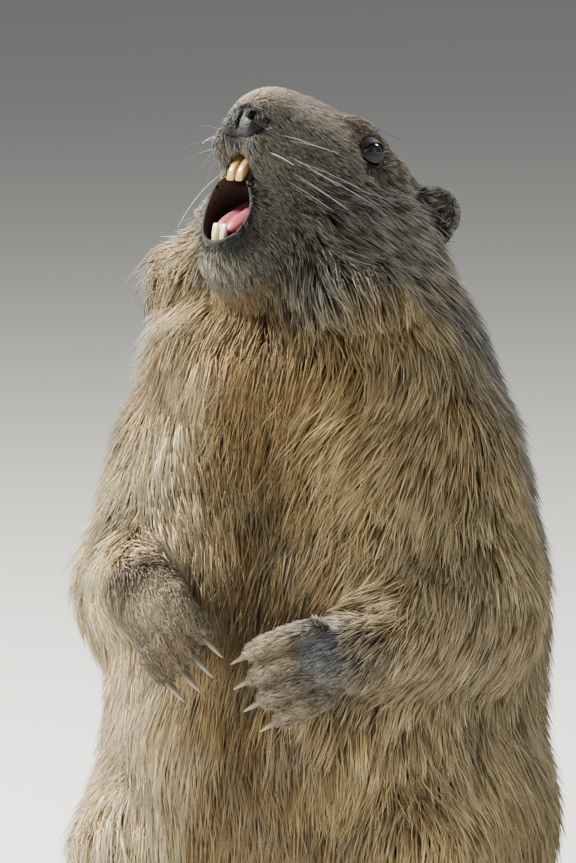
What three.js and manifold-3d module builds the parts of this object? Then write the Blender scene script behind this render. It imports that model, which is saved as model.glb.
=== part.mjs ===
// An alpine marmot sitting up on its haunches, head raised and mouth open in a call.
// Millimetres, +Z up. The animal faces -Y and its left is +X. The origin lies on the floor under the body.
import * as THREE from "three";
import { mergeVertices } from "three/addons/utils/BufferGeometryUtils.js";
import Module from "manifold-3d";

const wasm = await Module();
wasm.setup();

const GAP = 0.3;
const SIDES = { left: 1, right: -1 };

// How far the core lies in under the tips of the long coat on each part. Short-haired parts have no locks.
const CORE = { body: 8, cheek: 4.5, skull: 0, muzzle: 0, arm: 6, thigh: 7, tail: 6 };
// Locks of the long coat: length, half width, thickness, how deep the root is sunk, and how much each varies.
const LOCK = { length: 100, width: 30, thickness: 5.5, sink: 5, vary: 0.12, sway: 3, seed: 11 };

// Vectors are plain arrays, because the fields below are read many thousand times.
const add = (a, b, k = 1) => [a[0] + b[0] * k, a[1] + b[1] * k, a[2] + b[2] * k];
const sub = (a, b) => add(a, b, -1);
const scale = (a, k) => [a[0] * k, a[1] * k, a[2] * k];
const dot = (a, b) => a[0] * b[0] + a[1] * b[1] + a[2] * b[2];
const cross = (a, b) => [a[1] * b[2] - a[2] * b[1], a[2] * b[0] - a[0] * b[2], a[0] * b[1] - a[1] * b[0]];
const unit = (a) => scale(a, 1 / Math.hypot(...a));
const mix = (a, b, t) => add(scale(a, 1 - t), b, t);
const mirrored = (p, side) => [p[0] * side, p[1], p[2]];
const degrees = Math.PI / 180;
const WORLD = [[1, 0, 0], [0, 1, 0], [0, 0, 1]];

// The head's own frame: distances back from the nose tip, out to its left, and up.
const HEAD = { nose: [-22, -45, 389], turn: -18 * degrees, pitch: 35 * degrees };
const heading = [Math.sin(HEAD.turn), -Math.cos(HEAD.turn), 0];
const headUp = add(scale(heading, -Math.sin(HEAD.pitch)), [0, 0, 1], Math.cos(HEAD.pitch));
const headBack = scale(add(scale(heading, Math.cos(HEAD.pitch)), [0, 0, 1], Math.sin(HEAD.pitch)), -1);
const headLeft = cross([0, 0, 1], heading);
const HEAD_AXES = [headBack, headLeft, headUp];
const lean = (a, b, angle) => unit(add(scale(a, Math.cos(angle)), b, Math.sin(angle)));
const inHead = (back, left, up) =>
  add(add(add(HEAD.nose, headBack, back), headLeft, left), headUp, up);

// Outline sections, coat included. Trunk rows: height, half width, front and back reach.
const TRUNK = [
  [-30, 60, -50, 70], [0, 86, -76, 96], [24, 94, -88, 107], [60, 98, -95, 111], [115, 104, -98, 109],
  [162, 108, -94, 104], [209, 101, -80, 97], [232, 95, -74, 89], [256, 88, -68, 79], [280, 84, -64, 66],
  [308, 69, -48, 59], [334, 56, -36, 61], [352, 40, -20, 54], [362, 16, 2, 34],
];
// Skull rows: distance back from the nose tip, half width, lowest and highest reach.
const SKULL = [
  [0.5, 8, -3, 14], [5, 14.5, -9, 22], [12, 18.5, -14, 28], [22, 22, -22, 32], [35, 27, -32, 36],
  [50, 34, -40, 39], [65, 41, -46, 41], [80, 46, -48, 41], [95, 47, -48, 38], [110, 44, -44, 31],
  [122, 34, -30, 20], [128, 16, -14, 8],
];
const MOUTH = { centre: [16, 0, -38], reach: [36, 12, 16.5], tilt: 10 * degrees };
const CLEFT = { centre: [9, 0, -19], reach: [13, 6.2, 9] };
const LIP_WALL = { centre: [40, 0, -30], reach: [28, 22.5, 35] };
const CHEEK = { centre: [70, 27, -28], reach: [36, 30, 34] };
const RUFF = { centre: [70, 42, -50], reach: [31, 36, 25] };
const WHISKER_PAD = { centre: [13, 10, -6], reach: [13, 9, 10] };
const BROW = { centre: [58, 21, 30], reach: [16, 9, 7] };
const JAW = {
  hinge: [66, 0, -46], hingeRadius: 27, chin: [28, 0, -58], chinRadius: 12,
  splitFront: [-12, 0, -35], splitBack: [74, 0, -52], margin: 7,
};
const EYE = { centre: [58.5, 27, 21.5], radius: 7, lidOut: 3.6, lidReach: [6.8, 5.8], lidThickness: 1.8 };
const EAR = { centre: [99, 43, 14], reach: [7.5, 14, 15], cupAhead: 7, cupReach: [6, 8.5, 9] };
const NOSE = {
  centre: [3.5, 0, 3], reach: [6.5, 12, 9.5], nostril: [-1, 8.8, 4.5], nostrilReach: [5, 3.4, 2.8],
};
const LIPS = { centre: [13.5, 0, -38.5], reach: [12.6, 16.8], thickness: 2.4, lean: 10 * degrees, bow: 4 };
const INCISOR = {
  upper: { root: [14, 2.75, -8], tip: [11.5, 2.65, -24], width: 2.5, depth: 2.2 },
  lower: { root: [26, 2.1, -61], tip: [14.5, 2.5, -45.5], width: 1.9, depth: 1.8 },
};
// Tongue rows: distance back, height, half width, half thickness.
const TONGUE = [
  [20, -48, 3, 1.5], [22, -46.5, 6.4, 2.8], [27, -40, 7.8, 4.2], [34, -31.5, 7.6, 4.8], [46, -27.5, 6.4, 4.4],
  [60, -28, 4.5, 3],
];

const ARM = { shoulder: [66, -6, 232], shoulderRadius: 34, elbowRadius: 27, wristRadius: 15 };
const ARMS = {
  left: {
    elbow: [88, -24, 160], wrist: [58, -84, 148], knuckle: [36, -101, 148], tip: [15.5, -107, 139],
    spread: [2.6, 0.6, -10.8],
  },
  right: {
    elbow: [-82, -24, 166], wrist: [-60, -82, 173], knuckle: [-34, -103, 164], tip: [-21, -111, 150],
    spread: [-5, -0.4, -8.2],
  },
};
// Each digit falls short of the longest by its own step.
const PAW = {
  facing: [0, -1, 0.35], width: 18.5, height: 11, overreach: 6, steps: [1.5, 0, 2, 7], fingerRadius: 5.4,
  claw: 14, clawRadius: 2.1, droop: 0.2,
};
// How far past its outline each limb is parted from the trunk.
const LIMB_MARGIN = 2.5;
const FOREARM_MARGIN = 3.5;

const THIGH = {
  centre: [58, 6, 56], reach: [52, 84, 60], knee: [71, -60, 46], kneeRadius: 33, axisBack: 42, inner: 20,
};
const FOOT = {
  heel: [62, -6, 12], ball: [74, -88, 9], width: 17, height: 13, overreach: 6, toeSpread: 7.4,
  toeLength: 20, steps: [5, 1.5, 0, 1.5, 6], toeRadius: 5, claw: 10, clawRadius: 1.9, droop: 0.1,
};
// Tail points on its midline, each with the radius there.
const TAIL = [
  [[0, 84, 34], 31], [[-4, 120, 27], 27.5], [[-12, 156, 24.5], 25.5], [[-26, 192, 22.5], 24],
  [[-46, 222, 18], 19], [[-62, 240, 11], 9],
];
const TAIL_PART = 3;

// Distance-like fields: negative inside, zero on the surface.
function ellipsoid(centre, reach, axes = WORLD) {
  return (p) => {
    const q = sub(p, centre);
    const local = axes.map((axis, i) => dot(q, axis) / reach[i]);
    const nearness = Math.hypot(...local);
    const slope = Math.hypot(...local.map((v, i) => v / reach[i]));
    return slope < 1e-9 ? -Math.min(...reach) : (nearness * (nearness - 1)) / slope;
  };
}

function roundCone(a, b, radiusA, radiusB) {
  const along = sub(b, a);
  const square = dot(along, along);
  return (p) => {
    const t = Math.min(1, Math.max(0, dot(sub(p, a), along) / square));
    const q = sub(p, add(a, along, t));
    return Math.hypot(...q) - radiusA - (radiusB - radiusA) * t;
  };
}

// A smooth curve through rows of numbers, read by their first column.
function smoothRows(rows) {
  const slope = (i, c) => {
    const [before, after] = [rows[Math.max(0, i - 1)], rows[Math.min(rows.length - 1, i + 1)]];
    return (after[c] - before[c]) / (after[0] - before[0]);
  };
  return (s) => {
    let i = 0;
    while (i < rows.length - 2 && s > rows[i + 1][0]) i++;
    const [a, b] = [rows[i], rows[i + 1]];
    const span = b[0] - a[0];
    const t = Math.min(1, Math.max(0, (s - a[0]) / span));
    const [t2, t3] = [t * t, t * t * t];
    return a.slice(1).map((value, k) => {
      const c = k + 1;
      return (
        (2 * t3 - 3 * t2 + 1) * value + (t3 - 2 * t2 + t) * span * slope(i, c) +
        (3 * t2 - 2 * t3) * b[c] + (t3 - t2) * span * slope(i + 1, c)
      );
    });
  };
}

// A body whose oval section changes along axes[0]: rows give half width and the reach each way on axes[2].
function sectioned(rows, origin, axes, power = 2.15) {
  const at = smoothRows(rows);
  const [first, last] = [rows[0][0], rows[rows.length - 1][0]];
  return (p) => {
    const q = sub(p, origin);
    const s = dot(q, axes[0]);
    const [half, low, high] = at(s);
    const x = dot(q, axes[1]);
    const y = dot(q, axes[2]) - (low + high) / 2;
    const share = (Math.abs(x / half) ** power + Math.abs((2 * y) / (high - low)) ** power) ** (1 / power);
    const past = Math.max(first - s, s - last, 0);
    const side = share < 1e-6 ? -half : Math.hypot(x, y) * (1 - 1 / share);
    return past > 0 ? Math.hypot(Math.max(side, 0), past) : side;
  };
}

const softMin = (a, b, k) => Math.min(a, b) - (Math.max(k - Math.abs(a - b), 0) ** 2) / (4 * k);

// Blends parts, each { field, inset }: share 0 gives the outline at the tips of the coat, and 1 the core.
const blended = (parts, softness, share) => (p) =>
  parts.reduce((d, part) => softMin(d, part.field(p) + part.inset * share, softness), 1e3);

const headPart = (form, side, inset) => ({
  field: ellipsoid(inHead(form.centre[0], form.centre[1] * side, form.centre[2]), form.reach, HEAD_AXES),
  inset,
});

const trunk = { field: sectioned(TRUNK, [0, 0, 0], [WORLD[2], WORLD[0], WORLD[1]]), inset: CORE.body };
const skull = { field: sectioned(SKULL, HEAD.nose, HEAD_AXES), inset: CORE.skull };
const jaw = {
  field: roundCone(inHead(...JAW.hinge), inHead(...JAW.chin), JAW.hingeRadius, JAW.chinRadius),
  inset: CORE.skull,
};
const sidesOf = (make) => Object.entries(SIDES).map(([name, side]) => make(side, name));
const lipWall = {
  field: ellipsoid(inHead(...LIP_WALL.centre), LIP_WALL.reach, HEAD_AXES),
  inset: CORE.muzzle,
};
const facial = [
  skull,
  jaw,
  lipWall,
  ...sidesOf((side) => headPart(CHEEK, side, CORE.cheek)),
  ...sidesOf((side) => headPart(RUFF, side, CORE.cheek)),
];
const snout = [
  ...sidesOf((side) => headPart(WHISKER_PAD, side, CORE.muzzle)),
  ...sidesOf((side) => headPart(BROW, side, CORE.muzzle)),
];
const upperArms = sidesOf((side, name) => ({
  field: roundCone(mirrored(ARM.shoulder, side), ARMS[name].elbow, ARM.shoulderRadius, ARM.elbowRadius),
  inset: CORE.arm,
}));
const forearms = sidesOf((side, name) => ({
  field: roundCone(ARMS[name].elbow, ARMS[name].wrist, ARM.elbowRadius, ARM.wristRadius),
  inset: CORE.arm,
}));
const thighs = sidesOf((side) => ({
  field: ellipsoid(mirrored(THIGH.centre, side), THIGH.reach),
  inset: CORE.thigh,
}));
const knees = sidesOf((side) => ({
  field: roundCone(
    mirrored(THIGH.centre, side), mirrored(THIGH.knee, side), THIGH.kneeRadius, THIGH.kneeRadius),
  inset: CORE.thigh,
}));
const tailParts = TAIL.slice(1).map(([end, radius], i) => ({
  field: roundCone(TAIL[i][0], end, TAIL[i][1], radius),
  inset: CORE.tail,
}));

const SOFT = { body: 22, face: 15, snout: 6, nape: 16, arm: 14, tail: 10 };
const headFields = (share) => {
  const face = blended(facial, SOFT.face, share);
  const snoutField = blended(snout, SOFT.snout, share);
  return (p) => softMin(face(p), snoutField(p), SOFT.snout);
};
const bodyParts = [trunk, ...upperArms, ...thighs, ...knees, tailParts[0]];
const joinedField = (share) => {
  const [body, head] = [blended(bodyParts, SOFT.body, share), headFields(share)];
  return (p) => softMin(body(p), head(p), SOFT.nape);
};
const torsoField = blended([trunk, ...thighs, ...knees, tailParts[0]], SOFT.body, 1);
const bodyField = blended(bodyParts, SOFT.body, 1);
const wholeField = joinedField(1);

function solidOf(geometry) {
  const plain = new THREE.BufferGeometry().setAttribute("position", geometry.getAttribute("position"));
  if (geometry.index) plain.setIndex(geometry.index);
  const merged = mergeVertices(plain, 1e-4);
  return new wasm.Manifold(new wasm.Mesh({
    numProp: 3,
    vertProperties: merged.attributes.position.array,
    triVerts: new Uint32Array(merged.index.array),
  }));
}

// A closed mesh whose faces all look out, whichever way they were listed.
function facedOut(points, faces) {
  const volume = faces.reduce((sum, v, i) =>
    i % 3 ? sum : sum + dot(points[v], cross(points[faces[i + 1]], points[faces[i + 2]])), 0);
  if (volume < 0) faces.reverse();
  const geometry = new THREE.BufferGeometry()
    .setAttribute("position", new THREE.Float32BufferAttribute(points.flat(), 3));
  geometry.setIndex(faces);
  return solidOf(geometry);
}

// A closed mesh from rings of points; a ring of one point is a tip.
function ringSolid(rings) {
  const points = rings.flat();
  const faces = [];
  let start = 0;
  rings.forEach((ring, i) => {
    const next = rings[i + 1];
    if (next) {
      const [n, m, after] = [ring.length, next.length, start + ring.length];
      for (let j = 0; j < Math.max(n, m); j++) {
        const k = (j + 1) % Math.max(n, m);
        if (n > 1) faces.push(start + j, start + k, after + (m > 1 ? k : 0));
        if (m > 1) faces.push(start + (n > 1 ? j : 0), after + k, after + j);
      }
    }
    start += ring.length;
  });
  const close = (from, count, flip) => {
    for (let j = 1; j < count - 1; j++) {
      faces.push(...(flip ? [from, from + j + 1, from + j] : [from, from + j, from + j + 1]));
    }
  };
  close(0, rings[0].length, true);
  const last = rings[rings.length - 1].length;
  close(points.length - last, last, false);
  return facedOut(points, faces);
}

// The last point of a ray inside a field.
function leaves(field, origin, ray, reach) {
  let [near, far] = [reach, reach];
  while (near > 0 && field(add(origin, ray, near)) >= 0) {
    far = near;
    near -= 2.5;
  }
  if (near === reach) return add(origin, ray, reach);
  for (let i = 0; i < 9; i++) {
    const middle = (near + far) / 2;
    if (field(add(origin, ray, middle)) < 0) near = middle;
    else far = middle;
  }
  return add(origin, ray, Math.max(near, 0.5));
}

// The surface of a field seen from an axis: rays leave it sideways, and lean out to the poles at its ends.
function skinOf(field, { from, to, rings, sides, reach }) {
  const POLE_LEAN = 2.4;
  const along = unit(sub(to, from));
  const across = unit(cross(along, Math.abs(along[2]) > 0.7 ? [0, 1, 0] : [0, 0, 1]));
  const up = cross(across, along);
  const made = [];
  for (let i = 0; i <= rings; i++) {
    const v = i / rings;
    const lift = Math.sign(v - 0.5) * Math.abs(2 * v - 1) ** POLE_LEAN * 90 * degrees;
    const origin = mix(from, to, v);
    const ends = i === 0 || i === rings;
    made.push(Array.from({ length: ends ? 1 : sides }, (_, j) => {
      const turn = (2 * Math.PI * j) / sides;
      const out = add(scale(across, Math.cos(turn)), up, Math.sin(turn));
      return leaves(field, origin, add(scale(out, Math.cos(lift)), along, Math.sin(lift)), reach);
    }));
  }
  return ringSolid(made);
}

// An oval ball on its own axes.
function ball(centre, reach, axes = WORLD, rings = 10, sides = 14) {
  return ringSolid(Array.from({ length: rings + 1 }, (_, i) => {
    const lift = (i / rings) * Math.PI;
    const count = i === 0 || i === rings ? 1 : sides;
    return Array.from({ length: count }, (_, j) => {
      const turn = (2 * Math.PI * j) / sides;
      const local = [Math.cos(lift), Math.sin(lift) * Math.cos(turn), Math.sin(lift) * Math.sin(turn)];
      return local.reduce((p, v, k) => add(p, axes[k], v * reach[k]), centre);
    });
  }));
}

// A bar swept through stations { p, side, up, w, h }; a station with no width is a tip.
const sweep = (stations, sides = 8) =>
  ringSolid(stations.map(({ p, side, up, w, h }) =>
    w === 0 ? [p] : Array.from({ length: sides }, (_, j) => {
      const turn = (2 * Math.PI * j) / sides;
      return add(add(p, side, w * Math.cos(turn)), up, h * Math.sin(turn));
    })));

// A round bar between points with a radius at each.
function rod(points, radii, sides = 8) {
  return sweep(points.map((p, i) => {
    const along = unit(sub(points[Math.min(i + 1, points.length - 1)], points[Math.max(i - 1, 0)]));
    const side = unit(cross(along, Math.abs(along[2]) > 0.9 ? [0, 1, 0] : [0, 0, 1]));
    return { p, side, up: cross(side, along), w: radii[i], h: radii[i] };
  }), sides);
}

// A round bar with a half ball at each end.
function capped(points, radii, sides) {
  const last = points.length - 1;
  const cap = (end, inner, radius) => {
    const out = unit(sub(end, inner));
    return [0.6, 0.94].map((lift) => [add(end, out, radius * lift), radius * Math.sqrt(1 - lift * lift)]);
  };
  const stations = [
    ...cap(points[0], points[1], radii[0]).reverse(),
    ...points.map((p, i) => [p, radii[i]]),
    ...cap(points[last], points[last - 1], radii[last]),
  ];
  return rod(stations.map(([p]) => p), stations.map(([, r]) => r), sides);
}

// Everything on the side of a plane that its normal points to.
function beyond(point, normal) {
  const SIZE = 900;
  const box = new THREE.BoxGeometry(SIZE, SIZE, SIZE).translate(0, 0, SIZE / 2);
  const turn = new THREE.Quaternion()
    .setFromUnitVectors(new THREE.Vector3(0, 0, 1), new THREE.Vector3(...normal));
  box.applyQuaternion(turn).translate(...point);
  return solidOf(box.toNonIndexed());
}

const largest = (solid) =>
  solid.decompose().reduce((best, s) => (s.volume() > best.volume() ? s : best));
const without = (solid, ...cutters) => cutters.reduce((made, cutter) => made.subtract(cutter), solid);
const floor = beyond([0, 0, 0], [0, 0, 1]);

// A repeatable draw between -1 and 1.
let drawn = LOCK.seed;
const draw = () => {
  drawn = (drawn * 1664525 + 1013904223) % 4294967296;
  return drawn / 2147483648 - 1;
};

const slopeOf = (field, p) =>
  unit(WORLD.map((axis) => field(add(p, axis, 0.5)) - field(add(p, axis, -0.5))));

// One lock of the coat: its root is sunk in the core, it follows the lie, and its tip ends at the outline.
// Shape rows: share of the length, of the width and of the thickness. The sway grows towards the tip.
function lock({ core, tips }, start, lie, size) {
  const SHAPE = [[0, 0.55, 1], [0.5, 1, 1], [1, 0, 0]];
  const [SUNK_FOR, LIES_FOR] = [0.33, 0.2];
  const length = LOCK.length * size * (1 + LOCK.vary * draw());
  const sway = LOCK.sway * degrees * draw();
  let p = start;
  let before = 0;
  return ringSolid(SHAPE.map(([along, wide, thick]) => {
    const out = slopeOf(core, p);
    const lies = lie(p);
    const straight = unit(add(lies, out, -dot(lies, out)));
    const ahead = lean(straight, cross(out, straight), sway * (1 + 2 * along));
    p = add(p, ahead, length * (along - before));
    before = along;
    const rise = Math.max(0, (along - LIES_FOR) / (1 - LIES_FOR));
    const low = core(p) + LOCK.sink * Math.max(0, 1 - along / SUNK_FOR);
    p = add(p, out, -low - (tips(p) + LOCK.thickness * 0.3 - low) * rise);
    if (wide === 0) return [p];
    const across = scale(cross(out, ahead), LOCK.width * size * wide);
    return [sub(p, across), add(p, across), add(p, out, LOCK.thickness * thick)];
  }));
}

const marmot = new THREE.Group();
const FINISH = {
  fur_face: [0x5d5a50, 0.95], fur_body: [0x8f7f5e, 0.95], fur_dark: [0x4b4c48, 0.95], paw: [0x6d6a62, 0.9],
  claw: [0x5a5247, 0.4], eye: [0x14110e, 0.05], nose: [0x2c2e32, 0.35], tooth: [0xc9a86a, 0.35],
  tongue: [0xb0596a, 0.45],
};

function addNode(name, solid, finish) {
  const mesh = largest(solid).getMesh();
  const geometry = new THREE.BufferGeometry()
    .setAttribute("position", new THREE.BufferAttribute(new Float32Array(mesh.vertProperties), 3))
    .setIndex(new THREE.BufferAttribute(new Uint32Array(mesh.triVerts), 1));
  geometry.computeVertexNormals();
  const [color, roughness] = FINISH[finish];
  const made = new THREE.Mesh(geometry, new THREE.MeshStandardMaterial({ color, roughness, metalness: 0 }));
  made.name = name;
  marmot.add(made);
}

// Where the head, neck and trunk part: a plane from the throat up to the nape, and one above the shoulders.
const THROAT = inHead(42, 0, -82);
const NAPE = inHead(120, 0, 34);
const HEAD_NORMAL = unit(cross(headLeft, sub(NAPE, THROAT)));
const SHOULDER_CUT = [0, 10, 274];
const SHOULDER_NORMAL = unit([0, -0.14, 1]);
const cutAt = (point, normal, sign) => beyond(add(point, normal, (sign * GAP) / 2), scale(normal, sign));

// The mouth: an oval hollow that opens at the front of the face.
const mouthAxes = [lean(headBack, headUp, -MOUTH.tilt), headLeft, lean(headUp, headBack, MOUTH.tilt)];
const lipAxes = [lean(headBack, headUp, LIPS.lean), headLeft, lean(headUp, headBack, -LIPS.lean)];
const mouth = ball(inHead(...MOUTH.centre), MOUTH.reach, mouthAxes, 10, 16)
  .add(ball(inHead(...CLEFT.centre), CLEFT.reach, HEAD_AXES, 6, 10));

// The lower jaw lies under a line from between the lips back to its hinge, no wider than the bone and its flesh.
function jawRegion(grow) {
  const front = inHead(...JAW.splitFront);
  const along = unit(sub(inHead(...JAW.splitBack), front));
  const down = cross(along, headLeft);
  const [hinge, chin] = [inHead(...JAW.hinge), inHead(...JAW.chin)];
  const radii = [JAW.hingeRadius, JAW.chinRadius].map((r) => r + JAW.margin + grow);
  const bone = capped([hinge, chin], radii, 16);
  return beyond(add(front, down, -grow), down).intersect(bone);
}

const tooth = ({ root, tip, width, depth }, side, grow) => {
  const [from, to] = [root, tip].map(([back, left, up]) => inHead(back, left * side, up));
  const bow = add(mix(from, to, 0.5), headBack, -1.2);
  return sweep([from, bow, to].map((p, i) => ({
    p, side: headLeft, up: headBack, w: width + grow, h: depth * (i === 2 ? 0.35 : 1) + grow,
  })), 8);
};

function tongue(grow) {
  const stations = TONGUE.map(([back, up, w, h]) => ({ p: inHead(back, 0, up), w, h }));
  return ringSolid(stations.map(({ p, w, h }) => Array.from({ length: 12 }, (_, j) => {
    const turn = (2 * Math.PI * j) / 12;
    const groove = j === 3 ? 0.45 : 1;
    return add(add(p, headLeft, (w + grow) * Math.cos(turn)), headUp, (h * groove + grow) * Math.sin(turn));
  })));
}

function ear(side, grow) {
  const centre = inHead(EAR.centre[0], EAR.centre[1] * side, EAR.centre[2]);
  const faces = unit(add(scale(headBack, -0.7), headLeft, 0.72 * side));
  const up = unit(add(headUp, faces, -dot(headUp, faces)));
  const axes = [faces, cross(up, faces), up];
  const pinna = ball(centre, EAR.reach.map((r) => r + grow), axes, 9, 12);
  return { pinna, cup: ball(add(centre, faces, EAR.cupAhead), EAR.cupReach, axes, 7, 10) };
}

// A raised rim, such as a lid or a lip: an oval ring with a round section, lying across axes[0].
function rim(centre, axes, reach, thickness, bow = 0, count = 14, sides = 5) {
  const points = [];
  const faces = [];
  for (let i = 0; i < count; i++) {
    const turn = (2 * Math.PI * i) / count;
    const out = add(scale(axes[1], Math.cos(turn)), axes[2], Math.sin(turn));
    const level = add(centre, axes[0], bow * Math.cos(turn) ** 2);
    const spine = add(add(level, axes[1], reach[0] * Math.cos(turn)), axes[2], reach[1] * Math.sin(turn));
    for (let j = 0; j < sides; j++) {
      const tube = (2 * Math.PI * j) / sides;
      points.push(add(add(spine, out, thickness * Math.cos(tube)), axes[0], thickness * Math.sin(tube)));
      const [k, m] = [(i + 1) % count, (j + 1) % sides];
      faces.push(i * sides + j, k * sides + j, k * sides + m, i * sides + j, k * sides + m, i * sides + m);
    }
  }
  return facedOut(points, faces);
}

const eyeCentre = (side) => inHead(EYE.centre[0], EYE.centre[1] * side, EYE.centre[2]);
const eyeball = (side, grow) => ball(eyeCentre(side), [0, 1, 2].map(() => EYE.radius + grow), WORLD, 9, 12);
const lidAxes = (side) => {
  const out = unit(add(add(scale(headLeft, side), headBack, -0.34), headUp, 0.3));
  const across = unit(add(headBack, out, -dot(headBack, out)));
  return [out, across, cross(out, across)];
};

// The coat lies down the trunk, back over the cheeks, and along the arms and tail to their ends.
const wholeCoat = { core: wholeField, tips: joinedField(0) };
const tailCoat = { core: blended(tailParts, SOFT.tail, 1), tips: blended(tailParts, SOFT.tail, 0) };
// Rows of locks round the body, each a height and a count, and the rows on the cheeks, forearms and tail.
const BODY_ROWS = {
  levels: [[312, 7], [252, 8], [192, 8], [134, 9], [80, 9]], centre: [0, 10], reach: 150, topSize: 0.8,
};
const RUFF_ROWS = { backs: [52, 76], lifts: [-72, -36], size: 0.6, reach: 110 };
const FOREARM_ROWS = { shares: [0.12, 0.5], count: 3, size: 0.56 };
const TAIL_ROWS = { shares: [0.2, 0.52], lifts: [10, 90, 170], size: 0.86 };

function bodyLocks() {
  const { levels, centre, reach, topSize } = BODY_ROWS;
  return levels.flatMap(([level, count], row) =>
    Array.from({ length: count }, (_, i) => {
      const turn = (2 * Math.PI * (i + (row % 2) / 2 + 0.12 * draw())) / count;
      const origin = [...centre, level + 5 * draw()];
      const start = leaves(wholeField, origin, [Math.cos(turn), Math.sin(turn), 0], reach);
      return lock(wholeCoat, start, () => [0, 0, -1], row === 0 ? topSize : 1);
    }));
}

function ruffLocks() {
  const back = unit(add(scale(headBack, 0.8), headUp, -0.45));
  return sidesOf((side) => RUFF_ROWS.backs.flatMap((distance, row) => RUFF_ROWS.lifts.map((lift) => {
    const angle = (lift + 12 * row + 5 * draw()) * degrees;
    const ray = add(scale(headLeft, side * Math.cos(angle)), headUp, Math.sin(angle));
    const start = leaves(wholeField, inHead(distance, 0, -14), ray, RUFF_ROWS.reach);
    return lock(wholeCoat, start, () => back, RUFF_ROWS.size);
  }))).flat();
}

function forearmLocks() {
  return sidesOf((side, name) => {
    const { elbow, wrist } = ARMS[name];
    const i = side > 0 ? 0 : 1;
    const coat = [1, 0].map((share) => blended([upperArms[i], forearms[i]], SOFT.arm, share));
    const along = unit(sub(wrist, elbow));
    const across = unit(cross(along, WORLD[2]));
    const up = cross(across, along);
    const { shares, count, size } = FOREARM_ROWS;
    return shares.flatMap((share, row) => Array.from({ length: count }, (_, k) => {
      const turn = (2 * Math.PI * (k + row / 2 + 0.1 * draw())) / count;
      const ray = add(scale(across, Math.cos(turn)), up, Math.sin(turn));
      const start = leaves(coat[0], mix(elbow, wrist, share), ray, 45);
      return lock({ core: coat[0], tips: coat[1] }, start, () => add(along, WORLD[2], -0.45), size);
    }));
  }).flat();
}

function tailLocks() {
  const line = new THREE.CatmullRomCurve3(TAIL.map(([p]) => new THREE.Vector3(...p)));
  return TAIL_ROWS.shares.flatMap((share, row) => TAIL_ROWS.lifts.map((lift) => {
    const along = line.getTangent(share).toArray();
    const across = unit(cross(along, WORLD[2]));
    const angle = (lift + 20 * (row % 2)) * degrees;
    const ray = add(scale(across, Math.cos(angle)), cross(across, along), Math.sin(angle));
    const start = leaves(tailCoat.core, line.getPoint(share).toArray(), ray, 45);
    return lock(tailCoat, start, () => along, TAIL_ROWS.size);
  }));
}

const locks = {
  body: wasm.Manifold.union(bodyLocks()),
  ruff: wasm.Manifold.union(ruffLocks()),
  forearm: wasm.Manifold.union(forearmLocks()),
  tail: wasm.Manifold.union(tailLocks()),
};
const bodyCoat = locks.body.add(locks.ruff);

function buildHead() {
  const axis = { from: inHead(15, 0, 9), to: inHead(99, 0, -6) };
  const whole = skinOf(wholeField, { ...axis, rings: 24, sides: 26, reach: 122 });
  const lower = skinOf(wholeField, {
    from: inHead(26, 0, -57), to: inHead(62, 0, -52), rings: 12, sides: 18, reach: 62,
  });
  const lids = sidesOf((side) => {
    const axes = lidAxes(side);
    return rim(add(eyeCentre(side), axes[0], EYE.lidOut), axes, EYE.lidReach, EYE.lidThickness);
  });
  const lips = rim(inHead(...LIPS.centre), lipAxes, LIPS.reach, LIPS.thickness, LIPS.bow, 18);
  const nose = (grow) => ball(inHead(...NOSE.centre), NOSE.reach.map((r) => r + grow), HEAD_AXES, 8, 14);
  const nostrils = sidesOf((side) =>
    ball(inHead(NOSE.nostril[0], NOSE.nostril[1] * side, NOSE.nostril[2]), NOSE.nostrilReach, HEAD_AXES, 6, 8),
  );
  const sockets = [
    nose(GAP),
    tongue(GAP),
    ...sidesOf((side) => eyeball(side, GAP)),
    ...sidesOf((side) => ear(side, GAP).pinna),
    ...sidesOf((side) => tooth(INCISOR.upper, side, GAP)),
    ...sidesOf((side) => tooth(INCISOR.lower, side, GAP)),
  ];
  const above = cutAt(THROAT, HEAD_NORMAL, 1);
  const head = lids.reduce((made, lid) => made.add(lid), whole.add(lips)).add(bodyCoat)
    .intersect(above).subtract(jawRegion(GAP / 2));
  addNode("head", without(head, mouth, ...sockets), "fur_face");
  addNode("lower_jaw", without(
    lower.add(lips).intersect(jawRegion(-GAP / 2)).intersect(above), mouth, ...sockets), "fur_face");
  addNode("nose", without(nose(0), ...nostrils), "nose");
  addNode("tongue", tongue(0), "tongue");
  sidesOf((side, name) => {
    addNode(`eye_${name}`, eyeball(side, 0), "eye");
    const { pinna, cup } = ear(side, 0);
    addNode(`ear_${name}`, pinna.subtract(cup), "fur_face");
    addNode(`incisor_upper_${name}`, tooth(INCISOR.upper, side, 0), "tooth");
    addNode(`incisor_lower_${name}`, tooth(INCISOR.lower, side, 0), "tooth");
  });
}

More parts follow.
